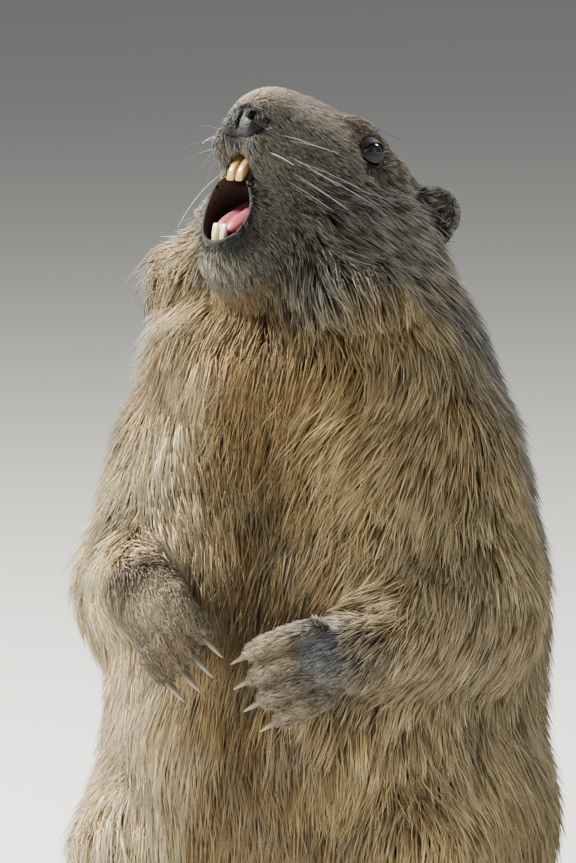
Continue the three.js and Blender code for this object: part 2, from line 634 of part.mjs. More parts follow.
// Paws and feet: a flat oval body, a rod for each digit, and a claw let into its end.
function digits({ root, tip, spread, up, steps, radius, claw, clawRadius, droop, sides }) {
  const along = unit(sub(tip, root));
  return steps.map((step, i) => {
    const start = add(root, spread, (i - 1) * 0.95);
    const end = add(add(tip, spread, i - 1), along, -step);
    const reach = unit(sub(end, start));
    const down = unit(add(reach, up, -droop));
    const socket = add(end, down, radius * 0.35);
    const clawTip = add(add(end, down, claw), up, -claw * 0.2);
    return {
      rod: (grow) => {
        const bend = add(mix(start, end, 0.45), up, radius * 0.3);
        const line = [add(start, reach, -radius), bend, end, add(end, down, radius)];
        return rod(line, [0.9, 1, 0.95, 0.5].map((share) => share * radius + grow), sides);
      },
      claw: (grow) => {
        const side = unit(cross(down, up));
        const arch = add(mix(socket, clawTip, 0.5), up, claw * 0.09);
        const sharp = add(clawTip, down, grow);
        const stations = [[socket, 0.9], [mix(socket, arch, 0.6), 1], [arch, 0.72], [sharp, 0]];
        return sweep(stations.map(([p, share]) => ({
          p, side, up: unit(cross(side, down)), w: share && clawRadius * share + grow,
          h: share && clawRadius * 1.25 * share + grow,
        })), 5);
      },
    };
  });
}

function pad(from, to, across, up, { width, height, overreach }) {
  const along = unit(sub(to, from));
  const reach = [Math.hypot(...sub(to, from)) / 2 + overreach, width, height];
  return (grow) => ball(mix(from, to, 0.5), reach.map((r) => r + grow), [along, across, up], 7, 10);
}

const joined = (solid, members, grow) =>
  members.reduce((made, member) => made.add(member.rod(grow)), solid);

function forepaw(name) {
  const { wrist, knuckle, tip, spread } = ARMS[name];
  const along = unit(sub(knuckle, wrist));
  const up = unit(add(PAW.facing, along, -dot(PAW.facing, along)));
  const fingers = digits({
    root: knuckle, tip, spread, up, steps: PAW.steps, radius: PAW.fingerRadius,
    claw: PAW.claw, clawRadius: PAW.clawRadius, droop: PAW.droop, sides: 6,
  });
  const palm = pad(wrist, knuckle, cross(up, along), up, PAW);
  return { body: (grow) => joined(palm(grow), fingers, grow), fingers };
}

function hindFoot(side) {
  const heel = mirrored(FOOT.heel, side);
  const base = mirrored(FOOT.ball, side);
  const along = unit(sub(base, heel));
  const up = unit(add(WORLD[2], along, -along[2]));
  const across = cross(up, along);
  const tip = add(base, along, FOOT.toeLength);
  tip[2] = FOOT.toeRadius - 0.5;
  const spread = scale(across, -side * FOOT.toeSpread);
  const toes = digits({
    root: add(add(base, up, -2), spread, -1), tip: add(tip, spread, -1), spread, up, steps: FOOT.steps,
    radius: FOOT.toeRadius, claw: FOOT.claw, clawRadius: FOOT.clawRadius, droop: FOOT.droop, sides: 5,
  });
  const sole = pad(heel, base, across, up, FOOT);
  return { body: (grow) => joined(sole(grow), toes, grow), toes };
}

function buildBody() {
  const arms = sidesOf((side, name) => {
    const { elbow, wrist } = ARMS[name];
    const shoulder = mirrored(ARM.shoulder, side);
    const i = side > 0 ? 0 : 1;
    const armField = blended([upperArms[i], forearms[i]], SOFT.arm, 1);
    const { shoulderRadius, elbowRadius, wristRadius } = ARM;
    const shell = (line, radii, margin) => (grow) => capped(line, radii.map((r) => r + margin + grow), 8);
    return {
      name, paw: forepaw(name),
      upper: skinOf(bodyField, { from: shoulder, to: elbow, rings: 7, sides: 12, reach: 60 }),
      lower: skinOf(armField, { from: elbow, to: wrist, rings: 6, sides: 10, reach: 48 }),
      upperShell: shell([shoulder, elbow], [shoulderRadius, elbowRadius], LIMB_MARGIN),
      lowerShell: shell([elbow, wrist], [elbowRadius, wristRadius], FOREARM_MARGIN),
    };
  });
  const hinds = sidesOf((side, name) => {
    const centre = mirrored(THIGH.centre, side);
    const knee = mirrored(THIGH.knee, side);
    const from = add(centre, WORLD[1], THIGH.axisBack);
    return {
      name, foot: hindFoot(side),
      thigh: skinOf(bodyField, { from, to: knee, rings: 7, sides: 12, reach: 84 }),
      shell: (grow) => {
        const margin = LIMB_MARGIN + grow;
        return ball(centre, THIGH.reach.map((r) => r + margin), WORLD, 6, 10)
          .add(capped([centre, knee], [THIGH.kneeRadius + margin, THIGH.kneeRadius + margin], 8))
          .intersect(beyond([side * (THIGH.inner - grow), 0, 0], [side, 0, 0]));
      },
    };
  });
  const tailLine = TAIL.map(([p]) => p);
  const tailRod = (grow, sides) => rod(tailLine, TAIL.map(([, r]) => r + grow), sides);
  const tailShell = tailRod(LIMB_MARGIN + GAP, 10);

  const trunkWhole = skinOf(torsoField, {
    from: [0, 6, 44], to: [0, 14, 268], rings: 10, sides: 18, reach: 170,
  });
  const furred = trunkWhole.add(locks.body).intersect(floor);
  const allArms = arms.flatMap((arm) => [arm.upperShell(GAP), arm.lowerShell(GAP)]);
  const allPaws = arms.map((arm) => arm.paw.body(GAP));
  const allFeet = hinds.map((hind) => hind.foot.body(GAP));
  addNode("torso", without(
    furred.intersect(cutAt(SHOULDER_CUT, SHOULDER_NORMAL, -1)),
    ...allArms, ...allPaws, ...hinds.map((hind) => hind.shell(GAP)), ...allFeet, tailShell,
  ), "fur_body");
  const neckWhole = skinOf(wholeField, {
    from: [0, 8, 262], to: [0, 24, 338], rings: 6, sides: 18, reach: 125,
  });
  addNode("neck", without(
    neckWhole.add(bodyCoat).intersect(cutAt(SHOULDER_CUT, SHOULDER_NORMAL, 1))
      .intersect(cutAt(THROAT, HEAD_NORMAL, -1)),
    ...allArms, ...sidesOf((side) => ear(side, GAP).pinna),
  ), "fur_body");

  for (const { name, paw, upper, lower, upperShell, lowerShell } of arms) {
    addNode(`upper_arm_${name}`, without(
      upper.add(locks.body).intersect(upperShell(0)), lowerShell(GAP), paw.body(GAP)), "fur_body");
    addNode(`forearm_${name}`, without(
      lower.add(trunkWhole).add(locks.forearm).intersect(lowerShell(0)), paw.body(GAP)), "fur_body");
    addNode(`forepaw_${name}`, without(paw.body(0), ...paw.fingers.map((f) => f.claw(GAP))), "paw");
    paw.fingers.forEach((finger, i) => addNode(`foreclaw_${name}_${i + 1}`, finger.claw(0), "claw"));
  }
  for (const { name, foot, thigh, shell } of hinds) {
    addNode(`thigh_${name}`, without(
      thigh.add(locks.body).intersect(shell(0)).intersect(floor),
      tailShell, ...allFeet, ...allArms, ...allPaws,
    ), "fur_body");
    addNode(`hind_foot_${name}`, without(
      foot.body(0).intersect(floor), ...foot.toes.map((toe) => toe.claw(GAP))), "paw");
    foot.toes.forEach((toe, i) => addNode(`hindclaw_${name}_${i + 1}`, toe.claw(0).intersect(floor), "claw"));
  }
  const tailSplit = TAIL[TAIL_PART][0];
  const tailAlong = unit(sub(TAIL[TAIL_PART + 1][0], TAIL[TAIL_PART - 1][0]));
  const tail = tailRod(-CORE.tail, 12).add(locks.tail).add(trunkWhole)
    .intersect(tailRod(LIMB_MARGIN, 10));
  const onFloor = without(tail.intersect(floor), ...hinds.map((hind) => hind.shell(GAP)));
  addNode("tail_base", onFloor.intersect(cutAt(tailSplit, tailAlong, -1)), "fur_body");
  addNode("tail_tip", onFloor.intersect(cutAt(tailSplit, tailAlong, 1)), "fur_dark");
}

buildHead();
buildBody();

export default marmot;
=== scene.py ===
import functools
import math

import bmesh
import bpy
import numpy as np
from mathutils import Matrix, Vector
from mathutils.kdtree import KDTree


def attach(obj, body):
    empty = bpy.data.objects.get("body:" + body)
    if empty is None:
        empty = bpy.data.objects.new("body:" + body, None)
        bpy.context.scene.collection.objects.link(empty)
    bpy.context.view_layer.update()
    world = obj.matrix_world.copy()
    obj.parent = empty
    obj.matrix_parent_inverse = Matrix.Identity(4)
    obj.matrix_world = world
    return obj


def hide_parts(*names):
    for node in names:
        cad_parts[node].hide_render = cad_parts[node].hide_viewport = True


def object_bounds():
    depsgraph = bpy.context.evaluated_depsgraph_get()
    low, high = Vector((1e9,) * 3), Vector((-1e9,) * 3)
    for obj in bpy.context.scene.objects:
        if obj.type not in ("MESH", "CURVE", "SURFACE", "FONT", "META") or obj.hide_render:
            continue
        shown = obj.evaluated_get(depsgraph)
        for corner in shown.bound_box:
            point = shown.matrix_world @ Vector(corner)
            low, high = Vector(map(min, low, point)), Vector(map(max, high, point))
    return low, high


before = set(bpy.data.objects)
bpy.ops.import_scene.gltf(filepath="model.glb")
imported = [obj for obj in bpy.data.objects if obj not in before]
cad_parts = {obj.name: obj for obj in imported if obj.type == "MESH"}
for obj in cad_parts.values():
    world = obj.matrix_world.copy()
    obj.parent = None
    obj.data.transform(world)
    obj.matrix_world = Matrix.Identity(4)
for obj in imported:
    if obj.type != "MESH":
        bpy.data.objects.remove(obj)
CAD_BOX = [list(corner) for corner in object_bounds()]

bl_info = {
    "name": "Alpine marmot",
    "version": (1, 0, 0),
    "blender": (4, 5, 0),
    "location": "View3D > Sidebar > Marmot",
    "description": "Dresses a life-size sitting marmot: skin, coat, face, claws and a plain studio",
    "category": "Object",
}

# The shapes are worked out in millimetres, as the solids are, and every mesh is stored in metres.
MM = 0.001
RNG_SEED = 23
SIDES = {"left": 1.0, "right": -1.0}
WORLD = np.eye(3)
PAIRED_FLESH = ("ear", "upper_arm", "forearm", "forepaw", "thigh", "hind_foot")
FLESH = ["head", "lower_jaw", "torso", "neck", "tail_base", "tail_tip"]
FLESH += [f"{part}_{side}" for side in SIDES for part in PAIRED_FLESH]


def unit(v):
    v = np.asarray(v, float)
    return v / np.maximum(np.linalg.norm(v, axis=-1, keepdims=True), 1e-9)


def smoothstep(low, high, x):
    t = np.clip((x - low) / (high - low), 0, 1)
    return t * t * (3 - 2 * t)


# The head's own frame: distances back from the nose tip, out to its left, and up.
NOSE_TIP = np.array([-22.0, -45.0, 389.0])
TURN, PITCH = math.radians(-18), math.radians(35)
HEADING = np.array([math.sin(TURN), -math.cos(TURN), 0.0])
HEAD_UP = -HEADING * math.sin(PITCH) + WORLD[2] * math.cos(PITCH)
HEAD_BACK = -(HEADING * math.cos(PITCH) + WORLD[2] * math.sin(PITCH))
HEAD_LEFT = np.cross(WORLD[2], HEADING)
HEAD_AXES = np.array([HEAD_BACK, HEAD_LEFT, HEAD_UP])


def in_head(back, left, up):
    return NOSE_TIP + np.array([back, left, up], float) @ HEAD_AXES


def head_frame(p):
    return (p - NOSE_TIP) @ HEAD_AXES.T


# Outline sections with the coat. Trunk rows: height, half width, front and back reach.
TRUNK = [
    [-30, 60, -50, 70], [0, 86, -76, 96], [24, 94, -88, 107], [60, 98, -95, 111], [115, 104, -98, 109],
    [162, 108, -94, 104], [209, 101, -80, 97], [232, 95, -74, 89], [256, 88, -68, 79], [280, 84, -64, 66],
    [308, 69, -48, 59], [334, 56, -36, 61], [352, 40, -20, 54], [362, 16, 2, 34],
]
# Skull rows: distance back from the nose tip, half width, lowest and highest reach.
SKULL = [
    [0.5, 8, -3, 14], [5, 14.5, -9, 22], [12, 18.5, -14, 28], [22, 22, -22, 32], [35, 27, -32, 36],
    [50, 34, -40, 39], [65, 41, -46, 41], [80, 46, -48, 41], [95, 47, -48, 38], [110, 44, -44, 31],
    [122, 34, -30, 20], [128, 16, -14, 8],
]
MOUTH = {"centre": (16, 0, -38), "reach": (36, 12, 16.5), "tilt": 10}
CLEFT = {"centre": (9, 0, -19), "reach": (13, 6.2, 9)}
LIP_WALL = {"centre": (40, 0, -30), "reach": (28, 22.5, 35)}
CHEEK = {"centre": (70, 27, -28), "reach": (36, 30, 34)}
RUFF = {"centre": (70, 42, -50), "reach": (31, 36, 25)}
WHISKER_PAD = {"centre": (13, 10, -6), "reach": (13, 9, 10)}
BROW = {"centre": (58, 21, 30), "reach": (16, 9, 7)}
JAW = {"hinge": (66, 0, -46), "chin": (28, 0, -58), "radii": (27, 12)}
EYE = {"centre": (58.5, 27, 21.5), "radius": 7.0, "cornea": 0.07, "socket_gap": 0.3, "slit_turn": 30}
# Each lid from its edge at the slit to its outer edge, as angles off the slit.
LIDS = {"bands": ((0.36, 1.05), (-0.3, -0.95)), "sweep": 1.12, "thickness": 0.5, "stations": 33, "around": 20}
EAR = {"centre": (99, 43, 14), "reach": (7.5, 14, 15), "cup_ahead": 7, "cup_reach": (6, 8.5, 9)}
NOSE = {"centre": (3.5, 0, 3), "reach": (6.5, 12, 9.5), "inset": (-0.8, -1.5, -1), "nostril_turn": 42}
NOSE_LOBE = {"centre": (2.4, 6.2, 1.5), "reach": (6.2, 5.6, 7.2)}
NOSE_GROOVE = {"centre": (-3.2, 0, -1), "reach": (3, 0.6, 10)}
NOSTRILS = ({"centre": (-1.2, 7.6, 4.2), "reach": (8, 3.6, 3.1)},
            {"centre": (1.5, 11.4, 2.2), "reach": (5.5, 4, 1.5)})
LIPS = {"centre": (13.5, 0, -38.5), "reach": (12.6, 16.8), "thickness": 2.4, "lean": 10, "bow": 4}
INCISORS = {
    "upper": {"root": (14, 2.75, -8), "tip": (11.5, 2.65, -24), "width": 2.5, "depth": 2.2},
    "lower": {"root": (26, 2.1, -61), "tip": (14.5, 2.5, -45.5), "width": 1.9, "depth": 1.8},
}
# Tongue rows: distance back, height, half width, half thickness.
TONGUE = [
    [18.5, -47, 4.4, 1.5], [20.5, -43.5, 7.4, 3.4], [26, -36.5, 8.8, 5], [34, -28, 9, 6],
    [46, -24, 7.6, 5.4], [60, -26, 5, 3.5],
]
ARM = {"shoulder": (66, -6, 232), "radii": (34, 27, 15)}
ARMS = {
    "left": {"elbow": (88, -24, 160), "wrist": (58, -84, 148), "knuckle": (36, -101, 148),
             "tip": (15.5, -107, 139), "spread": (2.6, 0.6, -10.8)},
    "right": {"elbow": (-82, -24, 166), "wrist": (-60, -82, 173), "knuckle": (-34, -103, 164),
              "tip": (-21, -111, 150), "spread": (-5, -0.4, -8.2)},
}
PAW = {"facing": (0, -1, 0.35), "width": 18.5, "height": 11, "overreach": 6, "steps": (1.5, 0, 2, 7),
       "radius": 5.4, "claw": 16.5, "claw_radius": 2.3, "droop": 0.3}
THIGH = {"centre": (58, 6, 56), "reach": (52, 84, 60), "knee": (71, -60, 46), "radius": 33}
FOOT = {"heel": (62, -6, 12), "ball": (74, -88, 9), "width": 17, "height": 13, "overreach": 6,
        "toe_spread": 7.4, "toe_length": 20, "steps": (5, 1.5, 0, 1.5, 6), "radius": 5, "claw": 10,
        "claw_radius": 1.9, "droop": 0.1}
# Tail points on its midline, each with the radius there.
TAIL = [((0, 84, 34), 31), ((-4, 120, 27), 27.5), ((-12, 156, 24.5), 25.5), ((-26, 192, 22.5), 24),
        ((-46, 222, 18), 19), ((-62, 240, 11), 9)]
SOFT = {"body": 22, "face": 15, "snout": 6, "nape": 16, "tail": 10, "paw": 3}
# How deep the skin lies under the tips of the coat.
DEPTH = {"body": 12, "cheek": 7, "ruff": 10, "jaw": 2.6, "muzzle": 1.2, "brow": 1.8, "shoulder": 11,
         "elbow": 8, "wrist": 4, "thigh": 12, "tail": 12, "tail_end": 5, "paw": 2.2, "ear": 1.2}
# Distances back from the nose tip, and how deep the skin lies under the skull's outline there.
SKULL_DEPTH = ((0, 20, 60, 105), (0.8, 1.2, 3, 6))


# Distance-like fields over arrays of points: negative inside, zero on the surface.
def ellipsoid(centre, reach, axes=WORLD):
    centre, reach, axes = np.array(centre, float), np.array(reach, float), np.array(axes)

    def field(p):
        local = ((p - centre) @ axes.T) / reach
        near = np.linalg.norm(local, axis=1)
        slope = np.linalg.norm(local / reach, axis=1)
        return near * (near - 1) / np.maximum(slope, 1e-6)

    return field


def round_cone(a, b, radius_a, radius_b):
    a, b = np.array(a, float), np.array(b, float)
    along = b - a

    def field(p):
        t = np.clip(((p - a) @ along) / (along @ along), 0, 1)
        off = np.linalg.norm(p - a - t[:, None] * along, axis=1)
        return off - radius_a - (radius_b - radius_a) * t

    return field


def smooth_rows(rows):
    rows = np.array(rows, float)
    knots = rows[:, 0]
    after, before = rows[np.r_[1:len(rows), -1]], rows[np.r_[0, 0:len(rows) - 1]]
    slopes = (after - before) / (after[:, :1] - before[:, :1])

    def at(s):
        i = np.searchsorted(knots[1:-1], s, side="left")
        span = knots[i + 1] - knots[i]
        t = np.clip((s - knots[i]) / span, 0, 1)[:, None]
        span = span[:, None]
        t2, t3 = t * t, t * t * t
        return ((2 * t3 - 3 * t2 + 1) * rows[i] + (t3 - 2 * t2 + t) * span * slopes[i]
                + (3 * t2 - 2 * t3) * rows[i + 1] + (t3 - t2) * span * slopes[i + 1])[:, 1:]

    return at


def sectioned(rows, origin, axes, power=2.15):
    at = smooth_rows(rows)
    first, last = rows[0][0], rows[-1][0]

    def field(p):
        q = (p - origin) @ np.array(axes).T
        half, low, high = at(q[:, 0]).T
        x, y = q[:, 1], q[:, 2] - (low + high) / 2
        share = (np.abs(x / half) ** power + np.abs(2 * y / (high - low)) ** power) ** (1 / power)
        past = np.maximum(np.maximum(first - q[:, 0], q[:, 0] - last), 0)
        side = np.where(share < 1e-6, -half, np.hypot(x, y) * (1 - 1 / np.maximum(share, 1e-6)))
        return np.where(past > 0, np.hypot(np.maximum(side, 0), past), side)

    return field


def soft_min(a, b, k):
    return np.minimum(a, b) - np.maximum(k - np.abs(a - b), 0) ** 2 / (4 * k)


def soft_max(a, b, k):
    return -soft_min(-a, -b, k)


def blended(fields, softness):
    def field(p):
        found = fields[0](p)
        for other in fields[1:]:
            found = soft_min(found, other(p), softness)
        return found

    return field


def shifted(field, depth):
    return lambda p: field(p) + depth


def cut_by(field, hollows, softness):
    def made(p):
        found = field(p)
        for hollow in hollows:
            found = soft_max(found, -hollow(p), softness)
        return found

    return made


def within(field, centre, radius):
    """The field near a small part, and farther off only the distance to the ball that holds it."""
    def found(p):
        value = np.linalg.norm(p - centre, axis=1) - radius + 8
        near = value < 8
        value[near] = field(p[near])
        return value

    return found


def slope_of(field, p, step):
    found = np.empty_like(p)
    for axis in range(3):
        found[:, axis] = field(p + step * WORLD[axis]) - field(p - step * WORLD[axis])
    return found / (2 * step)


def leaning(a, b, degrees):
    """The direction a, leaned by so many degrees to b."""
    angle = math.radians(degrees)
    return unit(np.asarray(a) * math.cos(angle) + np.asarray(b) * math.sin(angle))


def mirrored(point, side):
    return np.array([point[0] * side, point[1], point[2]], float)


def on_side(place, side):
    """A place given in the head's frame for its left, on the side asked for."""
    back, left, up = place
    return in_head(back, left * side, up)


def head_ball(form, side=0.0, grow=0.0, axes=HEAD_AXES):
    return ellipsoid(on_side(form["centre"], side), np.add(form["reach"], grow), axes)


# Paws and feet: a flat oval body and, for each digit, the line of its bones and the line of its claw.
def digits(root, tip, spread, up, form):
    along = unit(tip - root)
    made = []
    for i, step in enumerate(form["steps"]):
        start = root + spread * (i - 1) * 0.95
        end = tip + spread * (i - 1) - along * step
        reach = unit(end - start)
        down = unit(reach - up * form["droop"])
        radius, claw = form["radius"], form["claw"]
        bend = start * 0.55 + end * 0.45 + up * radius * 0.3
        socket = end + down * radius * 0.35
        claw_tip = end + down * claw - up * claw * 0.2
        made.append({
            "line": [start - reach * radius, bend, end, end + down * radius],
            "radii": np.array([0.9, 1, 0.95, 0.5]) * radius,
            "claw": [socket, (socket + claw_tip) / 2 + up * claw * 0.09, claw_tip],
            "claw_side": unit(np.cross(down, up)), "claw_radius": form["claw_radius"], "reach": reach,
        })
    return made


def forepaw(name):
    arm = {key: np.array(value, float) for key, value in ARMS[name].items()}
    along = unit(arm["knuckle"] - arm["wrist"])
    facing = np.array(PAW["facing"], float)
    up = unit(facing - along * (facing @ along))
    fingers = digits(arm["knuckle"], arm["tip"], arm["spread"], up, PAW)
    length = np.linalg.norm(arm["knuckle"] - arm["wrist"]) / 2 + PAW["overreach"]
    reach = [length, PAW["width"], PAW["height"]]
    return {"centre": (arm["wrist"] + arm["knuckle"]) / 2, "reach": reach,
            "axes": [along, np.cross(up, along), up], "digits": fingers}


def hind_foot(side):
    heel, ball = mirrored(FOOT["heel"], side), mirrored(FOOT["ball"], side)
    along = unit(ball - heel)
    up = unit(WORLD[2] - along * along[2])
    across = np.cross(up, along)
    tip = ball + along * FOOT["toe_length"]
    tip[2] = FOOT["radius"] - 0.5
    spread = across * -side * FOOT["toe_spread"]
    toes = digits(ball - up * 2 - spread, tip - spread, spread, up, FOOT)
    reach = [np.linalg.norm(ball - heel) / 2 + FOOT["overreach"], FOOT["width"], FOOT["height"]]
    return {"centre": (heel + ball) / 2, "reach": reach, "axes": [along, across, up], "digits": toes}


PAWS = {f"forepaw_{name}": forepaw(name) for name in SIDES}
FEET = {f"hind_foot_{name}": hind_foot(side) for name, side in SIDES.items()}


def paw_field(form, depth):
    fields = [ellipsoid(form["centre"], np.add(form["reach"], -depth), form["axes"])]
    for digit in form["digits"]:
        line, radii = digit["line"], digit["radii"] - depth * 0.6
        bones = [round_cone(line[i], line[i + 1], radii[i], radii[i + 1]) for i in range(3)]
        fields.append(blended(bones, 1.5))
    return within(blended(fields, SOFT["paw"]), form["centre"], form["reach"][0] + 50)


def ear_form(side):
    centre = on_side(EAR["centre"], side)
    faces = unit(HEAD_BACK * -0.7 + HEAD_LEFT * 0.72 * side)
    rise = unit(HEAD_UP - faces * (HEAD_UP @ faces))
    return centre, faces, [faces, np.cross(rise, faces), rise]


def ear_field(side, depth):
    centre, faces, axes = ear_form(side)
    cup = ellipsoid(centre + faces * EAR["cup_ahead"], EAR["cup_reach"], axes)
    canal = ellipsoid(centre + faces * 1.5 - axes[2] * 4, (5, 3, 3), axes)
    ear = cut_by(ellipsoid(centre, np.add(EAR["reach"], -depth), axes), [cup, canal], 1.5)
    return within(ear, centre, EAR["reach"][2] + 12)


def tilted(degrees):
    """The head's axes, turned about its own left."""
    return [leaning(HEAD_BACK, HEAD_UP, degrees), HEAD_LEFT, leaning(HEAD_UP, HEAD_BACK, -degrees)]


def lip_field(p):
    """The rim of the gape, as the distance to a bowed ring."""
    centre = in_head(*LIPS["centre"])
    q = (p - centre) @ np.array(tilted(LIPS["lean"])).T
    turn = np.arctan2(q[:, 2] / LIPS["reach"][1], q[:, 1] / LIPS["reach"][0])
    ring = np.stack([LIPS["bow"] * np.cos(turn) ** 2, LIPS["reach"][0] * np.cos(turn),
                     LIPS["reach"][1] * np.sin(turn)], axis=1)
    return np.linalg.norm(q - ring, axis=1) - LIPS["thickness"]


MOUTH_HOLLOW = blended([head_ball(MOUTH, axes=tilted(-MOUTH["tilt"])), head_ball(CLEFT)], 3)


def eye_centre(side):
    return on_side(EYE["centre"], side)


def from_eye(p):
    """Distance to the nearer eye's centre."""
    return np.min([np.linalg.norm(p - eye_centre(side), axis=1) for side in SIDES.values()], 0)


def eye_axes(side):
    """Out of the eye, back along its slit, and across the slit."""
    out = gaze(side)
    along = leaning(HEAD_BACK, HEAD_UP, EYE["slit_turn"])
    along = unit(along - out * (along @ out))
    return out, along, np.cross(out, along)


def gaze(side):
    return unit(HEAD_LEFT * side - HEAD_BACK * 0.34 + HEAD_UP * 0.3)


def skull_depth(p):
    return np.interp(head_frame(p)[:, 0], *SKULL_DEPTH)


# The parts of the body, each as the field of its outline, the field of its skin, and the way its coat lies.
def body_parts():
    trunk = sectioned(TRUNK, np.zeros(3), [WORLD[2], WORLD[0], WORLD[1]])
    down = np.array([0, 0, -1.0])
    parts = {"trunk": (trunk, shifted(trunk, DEPTH["body"]), down)}
    for name, side in SIDES.items():
        shoulder, arm = mirrored(ARM["shoulder"], side), ARMS[name]
        elbow, wrist = np.array(arm["elbow"], float), np.array(arm["wrist"], float)
        radii = np.array(ARM["radii"])
        inner = radii - (DEPTH["shoulder"], DEPTH["elbow"], DEPTH["wrist"])
        parts[f"upper_arm_{name}"] = (
            *(round_cone(shoulder, elbow, *each[:2]) for each in (radii, inner)),
            unit(elbow - shoulder) + (0, 0.2, 0))
        parts[f"forearm_{name}"] = (
            *(round_cone(elbow, wrist, *each[1:]) for each in (radii, inner)),
            unit(wrist - elbow) * 0.7 + (0, 0, -0.9))
        hip = mirrored(THIGH["centre"], side)
        thigh = ellipsoid(hip, THIGH["reach"])
        knee = round_cone(hip, mirrored(THIGH["knee"], side), THIGH["radius"], THIGH["radius"])
        parts[f"thigh_{name}"] = (thigh, shifted(thigh, DEPTH["thigh"]), np.array([0, -0.1, -1.0]))
        parts[f"knee_{name}"] = (knee, shifted(knee, DEPTH["thigh"]), np.array([0, -0.35, -1.0]))
    return parts


def head_parts():
    skull = sectioned(SKULL, NOSE_TIP, HEAD_AXES)
    parts = {"skull": (skull, lambda p: skull(p) + skull_depth(p), HEAD_BACK - HEAD_UP * 0.12)}
    jaw = round_cone(in_head(*JAW["hinge"]), in_head(*JAW["chin"]), *JAW["radii"])
    parts["jaw"] = (jaw, shifted(jaw, DEPTH["jaw"]), HEAD_BACK * 0.75 - HEAD_UP * 0.6)
    wall = head_ball(LIP_WALL)
    parts["lip_wall"] = (wall, shifted(wall, DEPTH["muzzle"]), HEAD_BACK - HEAD_UP * 0.3)
    for name, side in SIDES.items():
        outward = HEAD_LEFT * side
        for part, form, depth, lie in (
            ("cheek", CHEEK, DEPTH["cheek"], HEAD_BACK - HEAD_UP * 0.35 + outward * 0.1),
            ("ruff", RUFF, DEPTH["ruff"], HEAD_BACK * 0.5 - HEAD_UP * 0.4 + outward * 0.25 - WORLD[2] * 0.5),
        ):
            ball = head_ball(form, side)
            parts[f"{part}_{name}"] = (ball, shifted(ball, depth), lie)
    return parts


def snout_parts():
    parts = {}
    for name, side in SIDES.items():
        outward = HEAD_LEFT * side
        pad, brow = head_ball(WHISKER_PAD, side), head_ball(BROW, side)
        parts[f"pad_{name}"] = (
            pad, shifted(pad, DEPTH["muzzle"]), HEAD_BACK * 0.8 + outward * 0.4 - HEAD_UP * 0.4)
        parts[f"brow_{name}"] = (brow, shifted(brow, DEPTH["brow"]), HEAD_BACK + outward * 0.15)
    return parts


def tail_parts():
    parts = {}
    depths = np.interp(range(len(TAIL)), [3, len(TAIL) - 1], [DEPTH["tail"], DEPTH["tail_end"]])
    for i in range(len(TAIL) - 1):
        (a, radius_a), (b, radius_b) = TAIL[i], TAIL[i + 1]
        parts[f"tail_{i}"] = (round_cone(a, b, radius_a, radius_b),
                              round_cone(a, b, radius_a - depths[i], radius_b - depths[i + 1]),
                              unit(np.subtract(b, a)))
    return parts


BODY, HEAD, SNOUT, TAIL_LENGTHS = body_parts(), head_parts(), snout_parts(), tail_parts()


def bulk(level):
    """The body without paws and ears: level 0 is its outline with the coat, and level 1 its skin."""
    body, face, snout, tail = (
        blended([part[level] for part in group.values()], SOFT[soft])
        for group, soft in ((BODY, "body"), (HEAD, "face"), (SNOUT, "snout"), (TAIL_LENGTHS, "tail")))

    def field(p):
        head = soft_min(face(p), snout(p), SOFT["snout"])
        return soft_min(soft_min(body(p), head, SOFT["nape"]), tail(p), SOFT["tail"])

    return field


outline = bulk(0)


def skin_field():
    flesh = bulk(1)
    small = [paw_field(form, DEPTH["paw"]) for form in (*PAWS.values(), *FEET.values())]
    ears = [ear_field(side, DEPTH["ear"]) for side in SIDES.values()]
    hole = [EYE["radius"] + EYE["socket_gap"]] * 3
    sockets = [ellipsoid(eye_centre(side), hole) for side in SIDES.values()]
    rim = within(lip_field, in_head(*LIPS["centre"]), LIPS["reach"][1] + 12)

    def field(p):
        found = flesh(p)
        for other in small:
            found = soft_min(found, other(p), SOFT["paw"])
        for other in ears:
            found = soft_min(found, other(p), 3)
        found = soft_max(soft_min(found, rim(p), 3), -MOUTH_HOLLOW(p), 1.5)
        for socket in sockets:
            found = soft_max(found, -socket(p), 0.8)
        return np.maximum(found, 0.8 - p[:, 2])

    return field


SKIN = skin_field()


